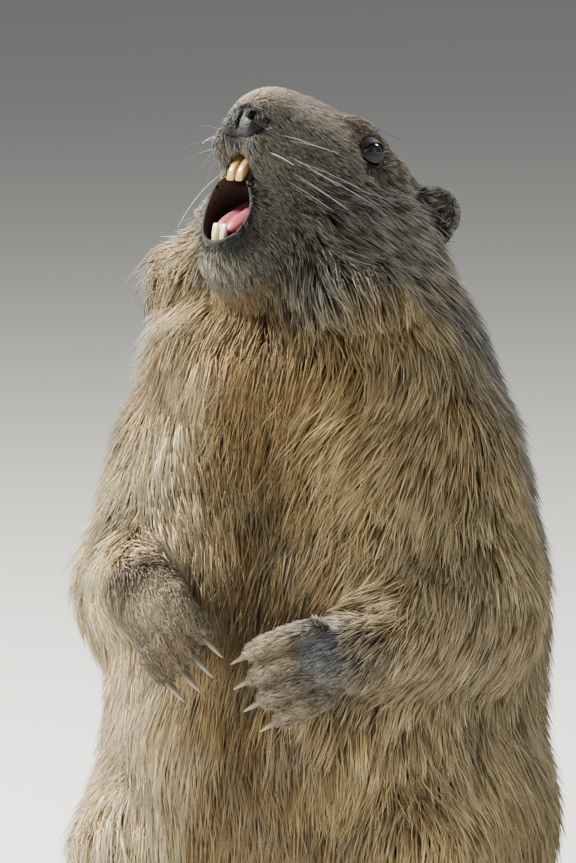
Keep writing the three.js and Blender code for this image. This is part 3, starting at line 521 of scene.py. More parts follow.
class Grid:
    def __init__(self, field, low, high, step, block=4):
        self.field, self.low, self.step = field, np.array(low, float), step
        size = np.ceil((np.array(high) - self.low) / (step * block)).astype(int)
        self.cells = size * block
        knots = [self.low[i] + step * block * np.arange(size[i] + 1) for i in range(3)]
        coarse = np.stack(np.meshgrid(*knots, indexing="ij"), -1).reshape(-1, 3)
        rough = field(coarse).reshape(size + 1)
        corners = np.stack([rough[i:i + size[0], j:j + size[1], k:k + size[2]]
                            for i in (0, 1) for j in (0, 1) for k in (0, 1)])
        near = np.abs(corners).min(0) < step * block
        near |= (corners.min(0) < 0) & (corners.max(0) > 0)
        filled = corners[0]
        for axis in range(3):
            near, filled = near.repeat(block, axis), filled.repeat(block, axis)
        near, filled = np.pad(near, (0, 1), "edge"), np.pad(filled, (0, 1), "edge")
        for axis in range(3):
            near |= np.roll(near, 1, axis)
        places = np.argwhere(near)
        self.values = filled.astype(float)
        for part in np.array_split(places, max(1, len(places) // 200000)):
            self.values[tuple(part.T)] = field(self.low + part * step)

    def look(self, p):
        """Height above the surface and the slope there, between the samples around each point."""
        q = (p - self.low) / self.step
        cell = np.clip(np.floor(q).astype(int), 0, self.cells - 1)
        f = q - cell
        x, y, z = f.T
        v = [[[self.values[tuple((cell + (i, j, k)).T)] for k in (0, 1)] for j in (0, 1)] for i in (0, 1)]
        across = [[v[0][j][k] * (1 - x) + v[1][j][k] * x for k in (0, 1)] for j in (0, 1)]
        flat = [across[0][k] * (1 - y) + across[1][k] * y for k in (0, 1)]
        rise = [(v[1][j][k] - v[0][j][k]) for j in (0, 1) for k in (0, 1)]
        slope_x = (rise[0] * (1 - y) + rise[2] * y) * (1 - z) + (rise[1] * (1 - y) + rise[3] * y) * z
        slope_y = (across[1][0] - across[0][0]) * (1 - z) + (across[1][1] - across[0][1]) * z
        slope = np.stack([slope_x, slope_y, flat[1] - flat[0]], 1) / self.step
        return flat[0] * (1 - z) + flat[1] * z, slope


def settled(points, field, rounds, reach, most, least_slope):
    """The points moved onto the field's surface by Newton steps of limited length."""
    for _ in range(rounds):
        value, slope = field(points), slope_of(field, points, reach)
        share = np.clip(value, -most, most) / np.maximum((slope**2).sum(1), least_slope)
        points = points - slope * share[:, None]
    return points


def surface(grid):
    """A mesh of quads: one point in each cell that the surface crosses, moved onto it."""
    field, low, step, cells, values = grid.field, grid.low, grid.step, grid.cells, grid.values
    inside = values < 0
    shifts = [np.array([i, j, k]) for i in (0, 1) for j in (0, 1) for k in (0, 1)]
    held = sum(inside[tuple(slice(d, d + n) for d, n in zip(shift, cells))].astype(int) for shift in shifts)
    mixed = (held > 0) & (held < 8)
    index = np.full(cells, -1)
    at = np.argwhere(mixed)
    index[tuple(at.T)] = np.arange(len(at))
    total, count = np.zeros((len(at), 3)), np.zeros(len(at))
    for a in shifts:
        for axis in range(3):
            if a[axis]:
                continue
            b = a + WORLD[axis].astype(int)
            value_a, value_b = values[tuple((at + a).T)], values[tuple((at + b).T)]
            crossed = (value_a < 0) != (value_b < 0)
            share = np.where(crossed, value_a / np.where(crossed, value_a - value_b, 1), 0)
            total += crossed[:, None] * (a + share[:, None] * WORLD[axis])
            count += crossed
    points = low + step * (at + total / count[:, None])

    quads = []
    for axis in range(3):
        one, two, three = (WORLD[(axis + n) % 3].astype(int) for n in range(3))
        first = inside[tuple(slice(0, cells[i]) for i in range(3))]
        second = inside[tuple(slice(one[i], one[i] + cells[i]) for i in range(3))]
        edge = np.argwhere(first != second)
        edge = edge[(edge[:, (axis + 1) % 3] > 0) & (edge[:, (axis + 2) % 3] > 0)]
        quad = np.stack([index[tuple((edge - d).T)] for d in (two + three, three, 0 * two, two)], 1)
        leaving = first[tuple(edge.T)]
        quads.append(np.where(leaving[:, None], quad, quad[:, ::-1]))
    return settled(points, field, 3, 0.4, step / 2, 0.2), np.concatenate(quads)


@functools.lru_cache(maxsize=1)
def skin_grid(step):
    low, high = np.array(CAD_BOX) / MM
    return Grid(SKIN, low - 6, high + 6, step)


def mesh_object(name, points, faces, smooth=True):
    """A mesh object from points in millimetres and an array, or a list of arrays, of equal-sided faces."""
    faces = faces if isinstance(faces, list) else [faces]
    mesh = bpy.data.meshes.new(name)
    mesh.vertices.add(len(points))
    mesh.vertices.foreach_set("co", (np.asarray(points) * MM).astype(np.float32).ravel())
    corners = np.concatenate([np.asarray(face).ravel() for face in faces])
    sizes = np.concatenate([np.full(len(face), np.shape(face)[1]) for face in faces])
    mesh.loops.add(len(corners))
    mesh.loops.foreach_set("vertex_index", corners.astype(np.int32))
    mesh.polygons.add(len(sizes))
    mesh.polygons.foreach_set("loop_start", np.r_[0, np.cumsum(sizes)[:-1]].astype(np.int32))
    mesh.polygons.foreach_set("use_smooth", np.full(len(sizes), smooth))
    mesh.update(calc_edges=True)
    return linked(name, mesh)


def linked(name, data):
    made = bpy.data.objects.new(name, data)
    bpy.context.scene.collection.objects.link(made)
    return made


def points_of(mesh):
    co = np.empty(len(mesh.vertices) * 3, np.float32)
    mesh.vertices.foreach_get("co", co)
    return co.reshape(-1, 3).astype(float) / MM


def triangle_corners(mesh):
    mesh.calc_loop_triangles()
    tri = np.empty(len(mesh.loop_triangles) * 3, np.int32)
    mesh.loop_triangles.foreach_get("vertices", tri)
    return points_of(mesh)[tri.reshape(-1, 3)].transpose(1, 0, 2)


def set_colours(piece, colours):
    values = np.ones((len(colours), 4), np.float32)
    values[:, :3] = colours
    attribute = piece.data.attributes.new("coat_colour", "FLOAT_COLOR", "POINT")
    attribute.data.foreach_set("color", values.ravel())


def set_shares(piece, name, values):
    attribute = piece.data.attributes.new(name, "FLOAT", "POINT")
    attribute.data.foreach_set("value", np.asarray(values, np.float32))


def ride(piece, slot, *nodes):
    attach(piece, "root")
    if nodes:
        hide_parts(*nodes)


def linear(code):
    """A colour given as an sRGB hex number, as linear values."""
    srgb = np.array([(code >> shift & 255) / 255 for shift in (16, 8, 0)])
    return np.where(srgb <= 0.04045, srgb / 12.92, ((srgb + 0.055) / 1.055) ** 2.4)


def rgba(code):
    return (*linear(code), 1.0)


# Coat colours, each from the root through the middle of a hair to its tip.
HAIR = {
    "buff": (0x4C391C, 0xA98A50, 0xEBDAAC),
    "gold": (0x33270F, 0x6B5228, 0xA78A55),
    "belly": (0x261B0E, 0x533E22, 0x917646),
    "grey": (0x121110, 0x2A2825, 0xB8B099),
    "slate": (0x0E0E0F, 0x212223, 0xA8A69E),
    # The cream is the coat's pale colour brightened with painted sunlight, for the flank and forepaw on the
    # lit side.
    "sunlit_cream": (0x7A6644, 0xDCC595, 0xFFF8E2),
    "pink": (0x75604C, 0xC2A88E, 0xEBDFD0),
    "white": (0x77705E, 0xC0B9A5, 0xECE7DA),
    "paw": (0x1A1714, 0x4B4136, 0xB9AA8C),
    # The slate-blue for the back of the shaded forepaw is partly the coat's colour and partly painted cool
    # shade.
    "cool_shaded_steel": (0x121418, 0x2C333B, 0x868E95),
    "dark": (0x0E0F11, 0x1B1D20, 0x33363A),
    "tail": (0x211A13, 0x4A3B29, 0x75634A),
}


def body_layers(p, tone, patchy):
    """Layers of colour on the body: each its root, middle and tip, and how much of it shows at each point."""
    x, y, z = p.T
    front = smoothstep(0, -40, y)
    # Painted shade: the chest's middle is darker brown, partly the coat's own colour and partly painted
    # shade, and the narrow dark groove down it is painted shade in the crease.
    middle = np.exp(-(((x + patchy) / 34) ** 2)) * front * smoothstep(20, 120, z)
    groove = np.exp(-(((x + 0.4 * patchy) / 5) ** 2)) * front
    groove = groove * smoothstep(110, 150, z) * smoothstep(290, 230, z)
    # Where the dark of the back begins, from the seat up to the nape.
    start = np.interp(z, [40, 150, 230, 330], [82, 36, 2, -24])
    lower = smoothstep(230, 60, z)[:, None, None]
    return [
        # Painted shade down the middle of the chest and in its groove.
        (tone["belly"] * 0.85, 0.95 * middle),
        (tone["belly"] * 0.45, 0.7 * groove),
        (tone["belly"], 0.6 * smoothstep(160, 60, z + patchy) * smoothstep(85, 40, np.abs(x))),
        (tone["gold"], 0.6 * (smoothstep(225, 285, z + patchy) * front)),
        # Painted sunlight: the animal's right flank faces the light and turns cream, partly its pale coat and
        # partly painted light.
        (tone["sunlit_cream"], 0.85 * smoothstep(-22, -64, x + patchy)),
        # Painted shade: the animal's left flank faces away from the light and turns grey, partly its coat's
        # grey and partly painted shade.
        (tone["grey"], 0.55 * smoothstep(30, 90, x + patchy) * smoothstep(40, 150, z)),
        (tone["buff"] * 0.6, 0.8 * smoothstep(start - 46, start + 2, y + 1.5 * patchy)),
        (tone["slate"] * (1 - 0.5 * lower) + tone["belly"] * 0.4 * lower,
         smoothstep(start - 16, start + 34, y + patchy)),
        (tone["tail"], smoothstep(105, 165, y) * smoothstep(80, 55, z)),
        (tone["dark"], 0.85 * smoothstep(170, 225, y)),
    ]


def head_layers(p, tone, patchy):
    back, left, up = head_frame(p).T
    limit = 300 + 46 * smoothstep(8, 44, -left) + 12 * smoothstep(30, 60, left)
    on_head = smoothstep(-9, 20, p[:, 2] + patchy - limit) * smoothstep(-110, -60, up)
    on_head *= np.where(back < 34, 1, smoothstep(-60, -42, up + 0.2 * back))
    crown = smoothstep(4, 26, up) * smoothstep(26, 50, back) * on_head
    bridge = smoothstep(9, 22, up - 0.12 * back) * smoothstep(50, 22, back) * on_head
    pad = smoothstep(26, 12, back) * smoothstep(2, -6, up) * smoothstep(-30, -18, up)
    chin = np.exp(-(((back - 16) / 9) ** 2) - ((up + 62) / 8) ** 2 - (left / 17) ** 2)
    lip = np.exp(-np.maximum(lip_field(p), 0) / 2.2) * smoothstep(-34, -46, up)
    return [
        (tone["grey"], on_head),
        (tone["buff"] * 0.62, 0.35 * crown),
        (tone["pink"], 0.85 * bridge),
        (tone["grey"] * 1.25, 0.6 * pad),
        (tone["white"], np.clip(chin, 0, 1) * (0.45 + 0.35 * np.sin(left * 0.9 + up))),
        (tone["dark"], 0.8 * np.exp(-((back - 11) ** 2 + (up + 57) ** 2 + left**2) / 16)),
        (tone["dark"], np.clip(lip, 0, 1) * 0.9),
    ]


def side_layers(p, tone, patchy, name, side):
    """Layers around the eye, on the ear, the forepaw and the hind foot of one side."""
    ring = np.exp(-((np.linalg.norm(p - eye_centre(side), axis=1) - 7.5) / 4) ** 2)
    ear = np.linalg.norm(p - ear_form(side)[0], axis=1)
    form = PAWS[f"forepaw_{name}"]
    hand = smoothstep(24, -4, paw_field(form, 0)(p) + 0.9 * patchy)
    along, _, up = form["axes"]
    knuckles = np.exp(-(((p - form["centre"] - along * 6 - up * 8) / 14) ** 2).sum(1))
    # Painted light on the backs of the forepaws: the right forepaw, on the lit side, is sunlit cream, and the
    # left forepaw, on the shaded side, is a slate-blue that is partly coat colour and partly painted cool
    # shade.
    hand_painted_light, weight = ("cool_shaded_steel", 1.0) if side > 0 else ("sunlit_cream", 0.5)
    return [
        (tone["dark"], 0.4 * ring),
        (tone["grey"] * 0.8, 0.85 * smoothstep(22, 12, ear)),
        (tone["paw"], hand),
        (tone[hand_painted_light], weight * knuckles * hand),
        (tone["paw"], smoothstep(9, 2, paw_field(FEET[f"hind_foot_{name}"], 0)(p))),
    ]


def markings(p):
    """The coat's colours at each point as root, middle and tip, from where it lies on the animal."""
    tone = {name: np.stack([linear(code) for code in codes]) for name, codes in HAIR.items()}
    found = np.repeat(tone["buff"][None], len(p), 0)
    x, y, z = p.T
    patchy = 6 * np.sin(x * 0.11 + 1.7) * np.sin(z * 0.07) + 4 * np.sin(z * 0.19 + y * 0.13)
    layers = body_layers(p, tone, patchy) + head_layers(p, tone, patchy)
    for name, side in SIDES.items():
        layers += side_layers(p, tone, patchy, name, side)
    for colour, weight in layers:
        found = found + (colour - found) * weight[:, None, None]
    return found


# Materials. A small function adds one node with its settings and links.
def add_node(tree, kind, settings=None, **links):
    node = tree.nodes.new(kind)
    for name, value in (settings or {}).items():
        if name.startswith("="):
            node.inputs[int(name[1:]) if name[1:].isdigit() else name[1:]].default_value = value
        else:
            setattr(node, name, value)
    for name, source in links.items():
        tree.links.new(source, node.inputs[name.replace("_", " ")])
    return node


def new_material(name, **shader):
    material = bpy.data.materials.new(name)
    material.use_nodes = True
    material.node_tree.nodes.clear()
    tree = material.node_tree
    settings = {f"={key}": value for key, value in shader.items()}
    principled = add_node(tree, "ShaderNodeBsdfPrincipled", settings)
    add_node(tree, "ShaderNodeOutputMaterial", Surface=principled.outputs[0])
    return material, tree, principled


def grained(tree, shader, scale_mm, strength, depth_mm, detail=3.0):
    """Fine relief from a noise whose grains are a few tenths of a millimetre across."""
    place = add_node(tree, "ShaderNodeTexCoord")
    noise = add_node(tree, "ShaderNodeTexNoise", {"=Scale": 1 / (scale_mm * MM), "=Detail": detail},
                     Vector=place.outputs["Object"]).outputs["Fac"]
    bump = add_node(tree, "ShaderNodeBump", {"=Strength": strength, "=Distance": depth_mm * MM}, Height=noise)
    tree.links.new(bump.outputs[0], shader.inputs["Normal"])
    return noise


def add_ramp(tree, source, stops):
    """A colour ramp from stops of a position and a linear colour."""
    ramp = add_node(tree, "ShaderNodeValToRGB", Fac=source)
    elements = ramp.color_ramp.elements
    while len(elements) < len(stops):
        elements.new(0.5)
    for element, (position, colour) in zip(elements, stops):
        element.position = position
        element.color = colour
    return ramp.outputs["Color"]


def hair_material():
    # Guard hair: dry keratin that scatters light widely, with a faint sheen along its length.
    material, tree, shader = new_material(
        "guard_hair", Roughness=0.62, IOR=1.5, **{"Specular IOR Level": 0.28, "Sheen Weight": 0.12,
                                                  "Sheen Roughness": 0.4})
    colour = add_node(tree, "ShaderNodeAttribute", {"attribute_name": "coat_colour"})
    tree.links.new(colour.outputs["Color"], shader.inputs["Base Color"])
    return material


def hide_material():
    # Haired hide: the same colours as the coat over it, with relief as fine as the short flat hair.
    material, tree, shader = new_material(
        "haired_hide", Roughness=0.7, IOR=1.45, **{"Specular IOR Level": 0.2})
    colour = add_node(tree, "ShaderNodeAttribute", {"attribute_name": "coat_colour"})
    speckle = grained(tree, shader, 1.1, 0.5, 0.5, detail=4.0)
    strength = add_node(tree, "ShaderNodeMapRange", {"=To Min": 0.72, "=To Max": 1.3}, Value=speckle)
    tinted = add_node(tree, "ShaderNodeVectorMath", {"operation": "SCALE"}, Vector=colour.outputs["Color"],
                      Scale=strength.outputs[0])
    tree.links.new(tinted.outputs[0], shader.inputs["Base Color"])
    return material


def shaded_material(name, attribute, stops, scale_mm, strength, depth_mm, **shader_settings):
    """A material whose colour runs through the stops by a share stored on the mesh, with a fine grain."""
    material, tree, shader = new_material(name, **shader_settings)
    noise = grained(tree, shader, scale_mm, strength, depth_mm)
    share = add_node(tree, "ShaderNodeAttribute", {"attribute_name": attribute})
    wobble = add_node(tree, "ShaderNodeMath", {"operation": "MULTIPLY_ADD", "=1": 0.12})
    tree.links.new(noise, wobble.inputs[0])
    tree.links.new(share.outputs["Fac"], wobble.inputs[2])
    stops = [(position, rgba(colour) if isinstance(colour, int) else colour) for position, colour in stops]
    tree.links.new(add_ramp(tree, wobble.outputs[0], stops), shader.inputs["Base Color"])
    return material


# Tubes: a section swept through stations, closed at both ends.
def tube(points, sides_of, ups_of, widths, heights, around=14, power=2.0):
    """Points and faces of a tube; a last station with no width closes to a tip."""
    points = np.asarray(points, float)
    turn = 2 * np.pi * np.arange(around) / around
    shape = np.stack([np.sign(np.cos(turn)) * np.abs(np.cos(turn)) ** (2 / power),
                      np.sign(np.sin(turn)) * np.abs(np.sin(turn)) ** (2 / power)], 1)
    wide, high = (shape[:, i] * np.asarray(each)[:, None] for i, each in enumerate((widths, heights)))
    rings = points[:, None] + sides_of[:, None] * wide[..., None] + ups_of[:, None] * high[..., None]
    count = len(points)
    made = with_ends(rings.reshape(-1, 3), points)
    a = np.arange(count - 1)[:, None] * around + np.arange(around)
    b = np.arange(count - 1)[:, None] * around + (np.arange(around) + 1) % around
    quads = np.stack([a, b, b + around, a + around], -1).reshape(-1, 4)
    ring, following = np.arange(around), (np.arange(around) + 1) % around
    start = np.stack([following, ring, np.full(around, count * around)], 1)
    last = (count - 1) * around
    end = np.stack([ring + last, following + last, np.full(around, count * around + 1)], 1)
    shares = np.r_[np.repeat(np.linspace(0, 1, count), around), 0, 1]
    return made, [quads, np.concatenate([start, end])], shares


def with_ends(rows, stations):
    """A tube's points are those of its rings, one ring to a station, and then its first and last station."""
    return np.concatenate([rows, stations[[0, -1]]])


def joined(tubes, shares):
    """The points, faces and shares of several tubes as one mesh."""
    starts = np.cumsum([0] + [len(made) for made, _, _ in tubes])
    faces = [np.concatenate([tube_faces[kind] + start for (_, tube_faces, _), start in zip(tubes, starts)])
             for kind in (0, 1)]
    return np.concatenate([made for made, _, _ in tubes]), faces, np.concatenate(shares)


def curve_through(a, b, c, count):
    t = np.linspace(0, 1, count)[:, None]
    return a * (1 - t) ** 2 + 2 * (2 * b - (a + c) / 2) * t * (1 - t) + c * t**2


def frames_along(points, side):
    along = unit(np.gradient(points, axis=0))
    sides = unit(side - along * (along @ side)[:, None])
    return sides, np.cross(along, sides)


def face_outward(piece):
    """Turns a closed piece's faces out if the volume they bound comes out negative."""
    a, b, c = triangle_corners(piece.data)
    if np.einsum("ij,ij->i", a, np.cross(b, c)).sum() < 0:
        piece.data.flip_normals()


def dressed(name, mesh_parts, material, slot, nodes, share="along"):
    """A finished piece from its points, its faces and the share of each point that its material reads."""
    points, faces, shares = mesh_parts
    piece = mesh_object(name, points, faces)
    set_shares(piece, share, shares)
    piece.data.materials.append(material)
    face_outward(piece)
    ride(piece, slot, *nodes)


class MarmotSettings(bpy.types.PropertyGroup):
    """Sizes and colours that a user would change."""

    skin_step: bpy.props.FloatProperty(
        name="Skin grid", description="Spacing of the skin's mesh", default=0.0024, min=0.001,
        unit="LENGTH")
    tufts: bpy.props.IntProperty(
        name="Tufts", description="How many tufts the whole coat has", default=225000, min=1000,
        max=245000)
    tuft_length: bpy.props.FloatProperty(
        name="Tuft length", description="Tuft length as a multiple of the natural one", default=1.0,
        min=0.3, max=2.0)
    clump: bpy.props.FloatProperty(
        name="Clumping", description="How far tuft tips draw together", default=0.4, min=0, max=1)
    eye_colour: bpy.props.FloatVectorProperty(
        name="Iris", description="Colour of the iris", subtype="COLOR", size=3,
        default=tuple(linear(0x1A1009)))
    tooth_colour: bpy.props.FloatVectorProperty(
        name="Upper incisors", description="Colour of the upper incisors' enamel", subtype="COLOR", size=3,
        default=tuple(linear(0x80592A)))
    floor_size: bpy.props.FloatProperty(
        name="Floor", description="Half the width of the floor", default=30.0, unit="LENGTH")


def refine(piece, field, choose, levels):
    """Splits the faces where choose says so, once for each level, and moves their points onto the field."""
    shape = bmesh.new()
    shape.from_mesh(piece.data)
    for level in range(levels):
        shape.verts.ensure_lookup_table()
        points = np.array([v.co for v in shape.verts]) / MM
        fine = choose(points, level)
        edges = [e for e in shape.edges if fine[e.verts[0].index] and fine[e.verts[1].index]]
        bmesh.ops.subdivide_edges(shape, edges=edges, cuts=1, use_grid_fill=True)
        shape.verts.index_update()
    shape.normal_update()
    shape.to_mesh(piece.data)
    shape.free()
    points = points_of(piece.data)
    fine = choose(points, 0)
    points[fine] = settled(points[fine], field, 4, 0.1, 0.5, 0.3)
    piece.data.vertices.foreach_set("co", (points * MM).astype(np.float32).ravel())
    piece.data.update()
    return points


# The mouth's hollow counts only above this height, since its field goes on below the head.
FACE_FLOOR = 280


def fine_places(p, level):
    """The front of the face, and within it, closer still, the rims of the mouth and the eyes."""
    back, left, up = head_frame(p).T
    high = p[:, 2] > FACE_FLOOR
    if level == 0:
        return (back < 76) & (np.abs(left) < 48) & (up > -75) & high
    return (from_eye(p) < 11) | ((np.abs(MOUTH_HOLLOW(p)) < 3) & (back < 34) & high)


class MARMOT_OT_skin(bpy.types.Operator):
    """Make the one skin that replaces every node of flesh"""

    bl_idname = "marmot.skin"
    bl_label = "Skin"

    def execute(self, context):
        points, quads = surface(skin_grid(context.scene.marmot.skin_step / MM))
        piece = mesh_object("skin", points, quads)
        points = refine(piece, SKIN, fine_places, 2)
        # The hide is as dark as the coat's roots under long fur, and nearer its middle under short fur.
        root, middle, _ = markings(points).transpose(1, 0, 2)
        short = smoothstep(5, 1.5, -outline(points))[:, None]
        colour = (root * 0.65 + middle * 0.35) * (1 - short) + (root * 0.35 + middle * 0.65) * short
        # The mouth is lined dark red-brown, red of its own and dark with painted shade; its far wall is fur,
        # olive-dark with painted shade; and the lining fades with painted shade to black towards the throat.
        inner = smoothstep(1.2, -1.0, MOUTH_HOLLOW(points))[:, None] * (points[:, 2:] > FACE_FLOOR)
        back, left, _ = head_frame(points).T
        shaded_far_wall = (smoothstep(0, -7, left) * smoothstep(24, 6, back))[:, None]
        shaded_lining = linear(0x43241F) * (1 - shaded_far_wall) + linear(0x4D4431) * shaded_far_wall
        colour = colour * (1 - inner) + shaded_lining * inner * smoothstep(40, 12, back)[:, None]
        set_colours(piece, colour)
        piece.data.materials.append(hide_material())
        ride(piece, "body_fur", *FLESH)
        return {"FINISHED"}


def eyeball(side):
    out, across, rise = eye_axes(side)
    rings, around = 40, 48
    lift = np.linspace(0, np.pi, rings + 1)[1:-1]
    bulge = EYE["radius"] * (1 + EYE["cornea"] * smoothstep(0.75, 0.2, lift))
    stations = eye_centre(side) + out * (bulge * np.cos(lift))[:, None]
    ways = [np.tile(way, (rings - 1, 1)) for way in (across, rise)]
    made, faces, _ = tube(stations, *ways, bulge * np.sin(lift), bulge * np.sin(lift), around)
    made[-2:] = eye_centre(side) + out * EYE["radius"] * np.array([[1 + EYE["cornea"]], [-1.0]])
    return made, faces, np.r_[np.repeat(lift / np.pi, around), 0, 1]


def lid_pair(side):
    """Both lids of an eye, each a thin band that bulges with the eyeball and leaves the slit open."""
    out, across, rise = eye_axes(side)
    u = np.linspace(-1, 1, LIDS["stations"])
    swing = u * LIDS["sweep"]
    flat = across * np.sin(swing)[:, None] + out * np.cos(swing)[:, None]
    bands = []
    for edge, outer in LIDS["bands"]:
        lift = np.array([edge * np.cos(u * np.pi / 2), outer * np.sqrt(np.clip(1.08 - u**2, 0, 1))]).T
        middle = lift.mean(1)
        outward = flat * np.cos(middle)[:, None] + rise * np.sin(middle)[:, None]
        line = eye_centre(side) + outward * (EYE["radius"] + LIDS["thickness"])
        over = rise * np.cos(middle)[:, None] - flat * np.sin(middle)[:, None]
        half = np.abs(lift[:, 1] - lift[:, 0]) / 2 * (EYE["radius"] + 0.75)
        bands.append(tube(line, over, outward, half, LIDS["thickness"] + 0 * u, LIDS["around"]))
    from_edge = (1 + np.cos(np.linspace(0, 2 * np.pi, LIDS["around"], endpoint=False))) / 2
    return joined(bands, [np.r_[np.tile(share, len(u)), 1, 1] for share in (from_edge, 1 - from_edge)])


class MARMOT_OT_eyes(bpy.types.Operator):
    """Make the eyes with their bulging corneas, and the lids"""

    bl_idname = "marmot.eyes"
    bl_label = "Eyes and lids"

    def execute(self, context):
        # Wet cornea over a dark brown iris, as in a living eye. The colour runs from pupil to rim.
        iris = (*context.scene.marmot.eye_colour, 1)
        cornea, tree, shader = new_material(
            "wet_cornea", Roughness=0.04, IOR=1.38, **{"Coat Weight": 1.0, "Coat Roughness": 0.02})
        share = add_node(tree, "ShaderNodeAttribute", {"attribute_name": "from_pupil"})
        stops = ((0.15, rgba(0x030303)), (0.19, iris), (0.28, iris), (0.33, rgba(0x060505)))
        tree.links.new(add_ramp(tree, share.outputs["Fac"], stops), shader.inputs["Base Color"])
        # Lid skin: black and bare along the slit, and as brown as the short fur beyond it.
        lid_skin = shaded_material(
            "lid_skin", "from_slit", ((0.08, 0x0A0A0B), (0.4, 0x241F1A), (1, 0x3B342A)), 0.35, 0.4, 0.2,
            Roughness=0.6)
        for name, side in SIDES.items():
            dressed(f"eye_{name}_dressed", eyeball(side), cornea, "eye", [f"eye_{name}"], "from_pupil")
            dressed(f"lids_{name}", lid_pair(side), lid_skin, "face_fur", [], "from_slit")
        return {"FINISHED"}


class MARMOT_OT_nose(bpy.types.Operator):
    """Make the nose pad with its nostrils and middle groove"""

    bl_idname = "marmot.nose"
    bl_label = "Nose"

    def execute(self, context):
        hollows, lobes = [head_ball(NOSE_GROOVE)], [head_ball(NOSE, grow=NOSE["inset"])]
        for side in SIDES.values():
            turn = NOSE["nostril_turn"] * side
            turned = [leaning(HEAD_BACK, HEAD_LEFT, -turn), leaning(HEAD_LEFT, HEAD_BACK, turn), HEAD_UP]
            hollows += [head_ball(nostril, side, axes=turned) for nostril in NOSTRILS]
            lobes.append(head_ball(NOSE_LOBE, side))
        pad = cut_by(blended(lobes, 2.5), hollows, 1.2)
        centre = in_head(*NOSE["centre"])
        points, quads = surface(Grid(pad, centre - 16, centre + 16, 0.5))
        # Nose leather: slate, pebbled by fine grooves, a little moist.
        leather = shaded_material(
            "nose_leather", "along", ((0, 0x0C0E12), (0.6, 0x08090B), (1, 0x12100D)), 1.1, 1.0, 0.8,
            Roughness=0.55, **{"Specular IOR Level": 0.35, "Coat Weight": 0.06, "Coat Roughness": 0.35})
        shares = smoothstep(-6, 10, head_frame(points)[:, 2])
        dressed("nose_dressed", (points, quads, shares), leather, "nose_skin", ["nose"])
        return {"FINISHED"}


def incisor(form, side):
    root, tip = on_side(form["root"], side), on_side(form["tip"], side)
    line = curve_through(root, (root + tip) / 2 - HEAD_BACK * 1.2, tip, 18)
    t = np.linspace(0, 1, len(line))
    width = form["width"] * (1 - 0.1 * t) * np.where(t > 0.96, 0.8, 1)
    depth = form["depth"] * np.interp(t, [0, 0.7, 0.95, 1], [1, 0.85, 0.4, 0.16])
    return tube(line, *frames_along(line, HEAD_LEFT), width, depth, 20, 3.2)


def tongue():
    """The tongue, with a groove down the middle of its top and of its underside."""
    around = 36
    rows = smooth_rows([[i, *row] for i, row in enumerate(TONGUE)])(np.linspace(0, len(TONGUE) - 1, 40))
    line = np.array([in_head(back, 0, up) for back, up, _, _ in rows])
    sides, ups = frames_along(line, HEAD_LEFT)
    made, faces, shares = tube(line, sides, ups, rows[:, 2], rows[:, 3], around)
    middle, up = (with_ends(np.repeat(each, around, 0), each) for each in (line, ups))
    offset, above = head_frame(made)[:, 1], np.einsum("ij,ij->i", made - middle, up)
    groove = np.exp(-((offset / 1.4) ** 2)) * (np.abs(above) > 0.5)
    return made - up * (np.sign(above) * groove * 2)[:, None], faces, shares


class MARMOT_OT_mouth(bpy.types.Operator):
    """Make the incisors and the tongue"""

    bl_idname = "marmot.mouth"
    bl_label = "Teeth and tongue"

    def execute(self, context):
        # Enamel: amber on the upper incisors and cream on the lower, streaked along them, glossy where wet.
        tooth = (*context.scene.marmot.tooth_colour, 1)
        for row, stops in (("upper", ((0, 0x55381A), (0.35, tooth), (1, 0xAE8C56))),
                           ("lower", ((0, 0x8A7650), (0.5, 0xC2B088), (1, 0xDDD1B0)))):
            enamel = shaded_material(f"{row}_enamel", "along", stops, 0.5, 0.15, 0.1, Roughness=0.25,
                                     **{"Coat Weight": 0.5, "Coat Roughness": 0.1})
            for name, side in SIDES.items():
                dressed(f"incisor_{row}_{name}_dressed", incisor(INCISORS[row], side), enamel,
                        f"{row}_tooth", [f"incisor_{row}_{name}"])
        # Wet tongue: pink, with papillae as fine grains, and darkening with painted shade towards its root in
        # the mouth.
        wet = shaded_material(
            "wet_tongue", "along", ((0, 0xB0606A), (0.5, 0x984A55), (1, 0x5A2A31)), 0.5, 0.6, 0.25,
            Roughness=0.35, **{"Coat Weight": 0.3, "Coat Roughness": 0.2, "Subsurface Weight": 0.1})
        dressed("tongue_dressed", tongue(), wet, "tongue", ["tongue"])
        return {"FINISHED"}


def claw(digit):
    line = curve_through(*digit["claw"], 16)
    t = np.linspace(0, 1, len(line))
    taper = digit["claw_radius"] * np.interp(t, [0, 0.25, 0.6, 0.9, 1], [0.92, 1, 0.72, 0.3, 0.05])
    return tube(line, *frames_along(line, digit["claw_side"]), taper * 0.85, taper * 1.25, 14)


class MARMOT_OT_claws(bpy.types.Operator):
    """Make each claw as a curved, tapering horn"""

    bl_idname = "marmot.claws"
    bl_label = "Claws"

    def execute(self, context):
        # Claw horn: grey-brown at the root, paler at the worn tip, grooved lengthwise.
        horn = shaded_material(
            "claw_horn", "along", ((0, 0x2A251F), (0.5, 0x5C5446), (1, 0xA79C85)), 0.4, 0.3, 0.12,
            Roughness=0.34, **{"Coat Weight": 0.2, "Coat Roughness": 0.3})
        groups = [(f"foreclaw_{name}", PAWS[f"forepaw_{name}"]) for name in SIDES]
        groups += [(f"hindclaw_{name}", FEET[f"hind_foot_{name}"]) for name in SIDES]
        for group, form in groups:
            for i, digit in enumerate(form["digits"]):
                node = f"{group}_{i + 1}"
                dressed(f"{node}_dressed", claw(digit), horn, "claw_horn", [node])
        return {"FINISHED"}


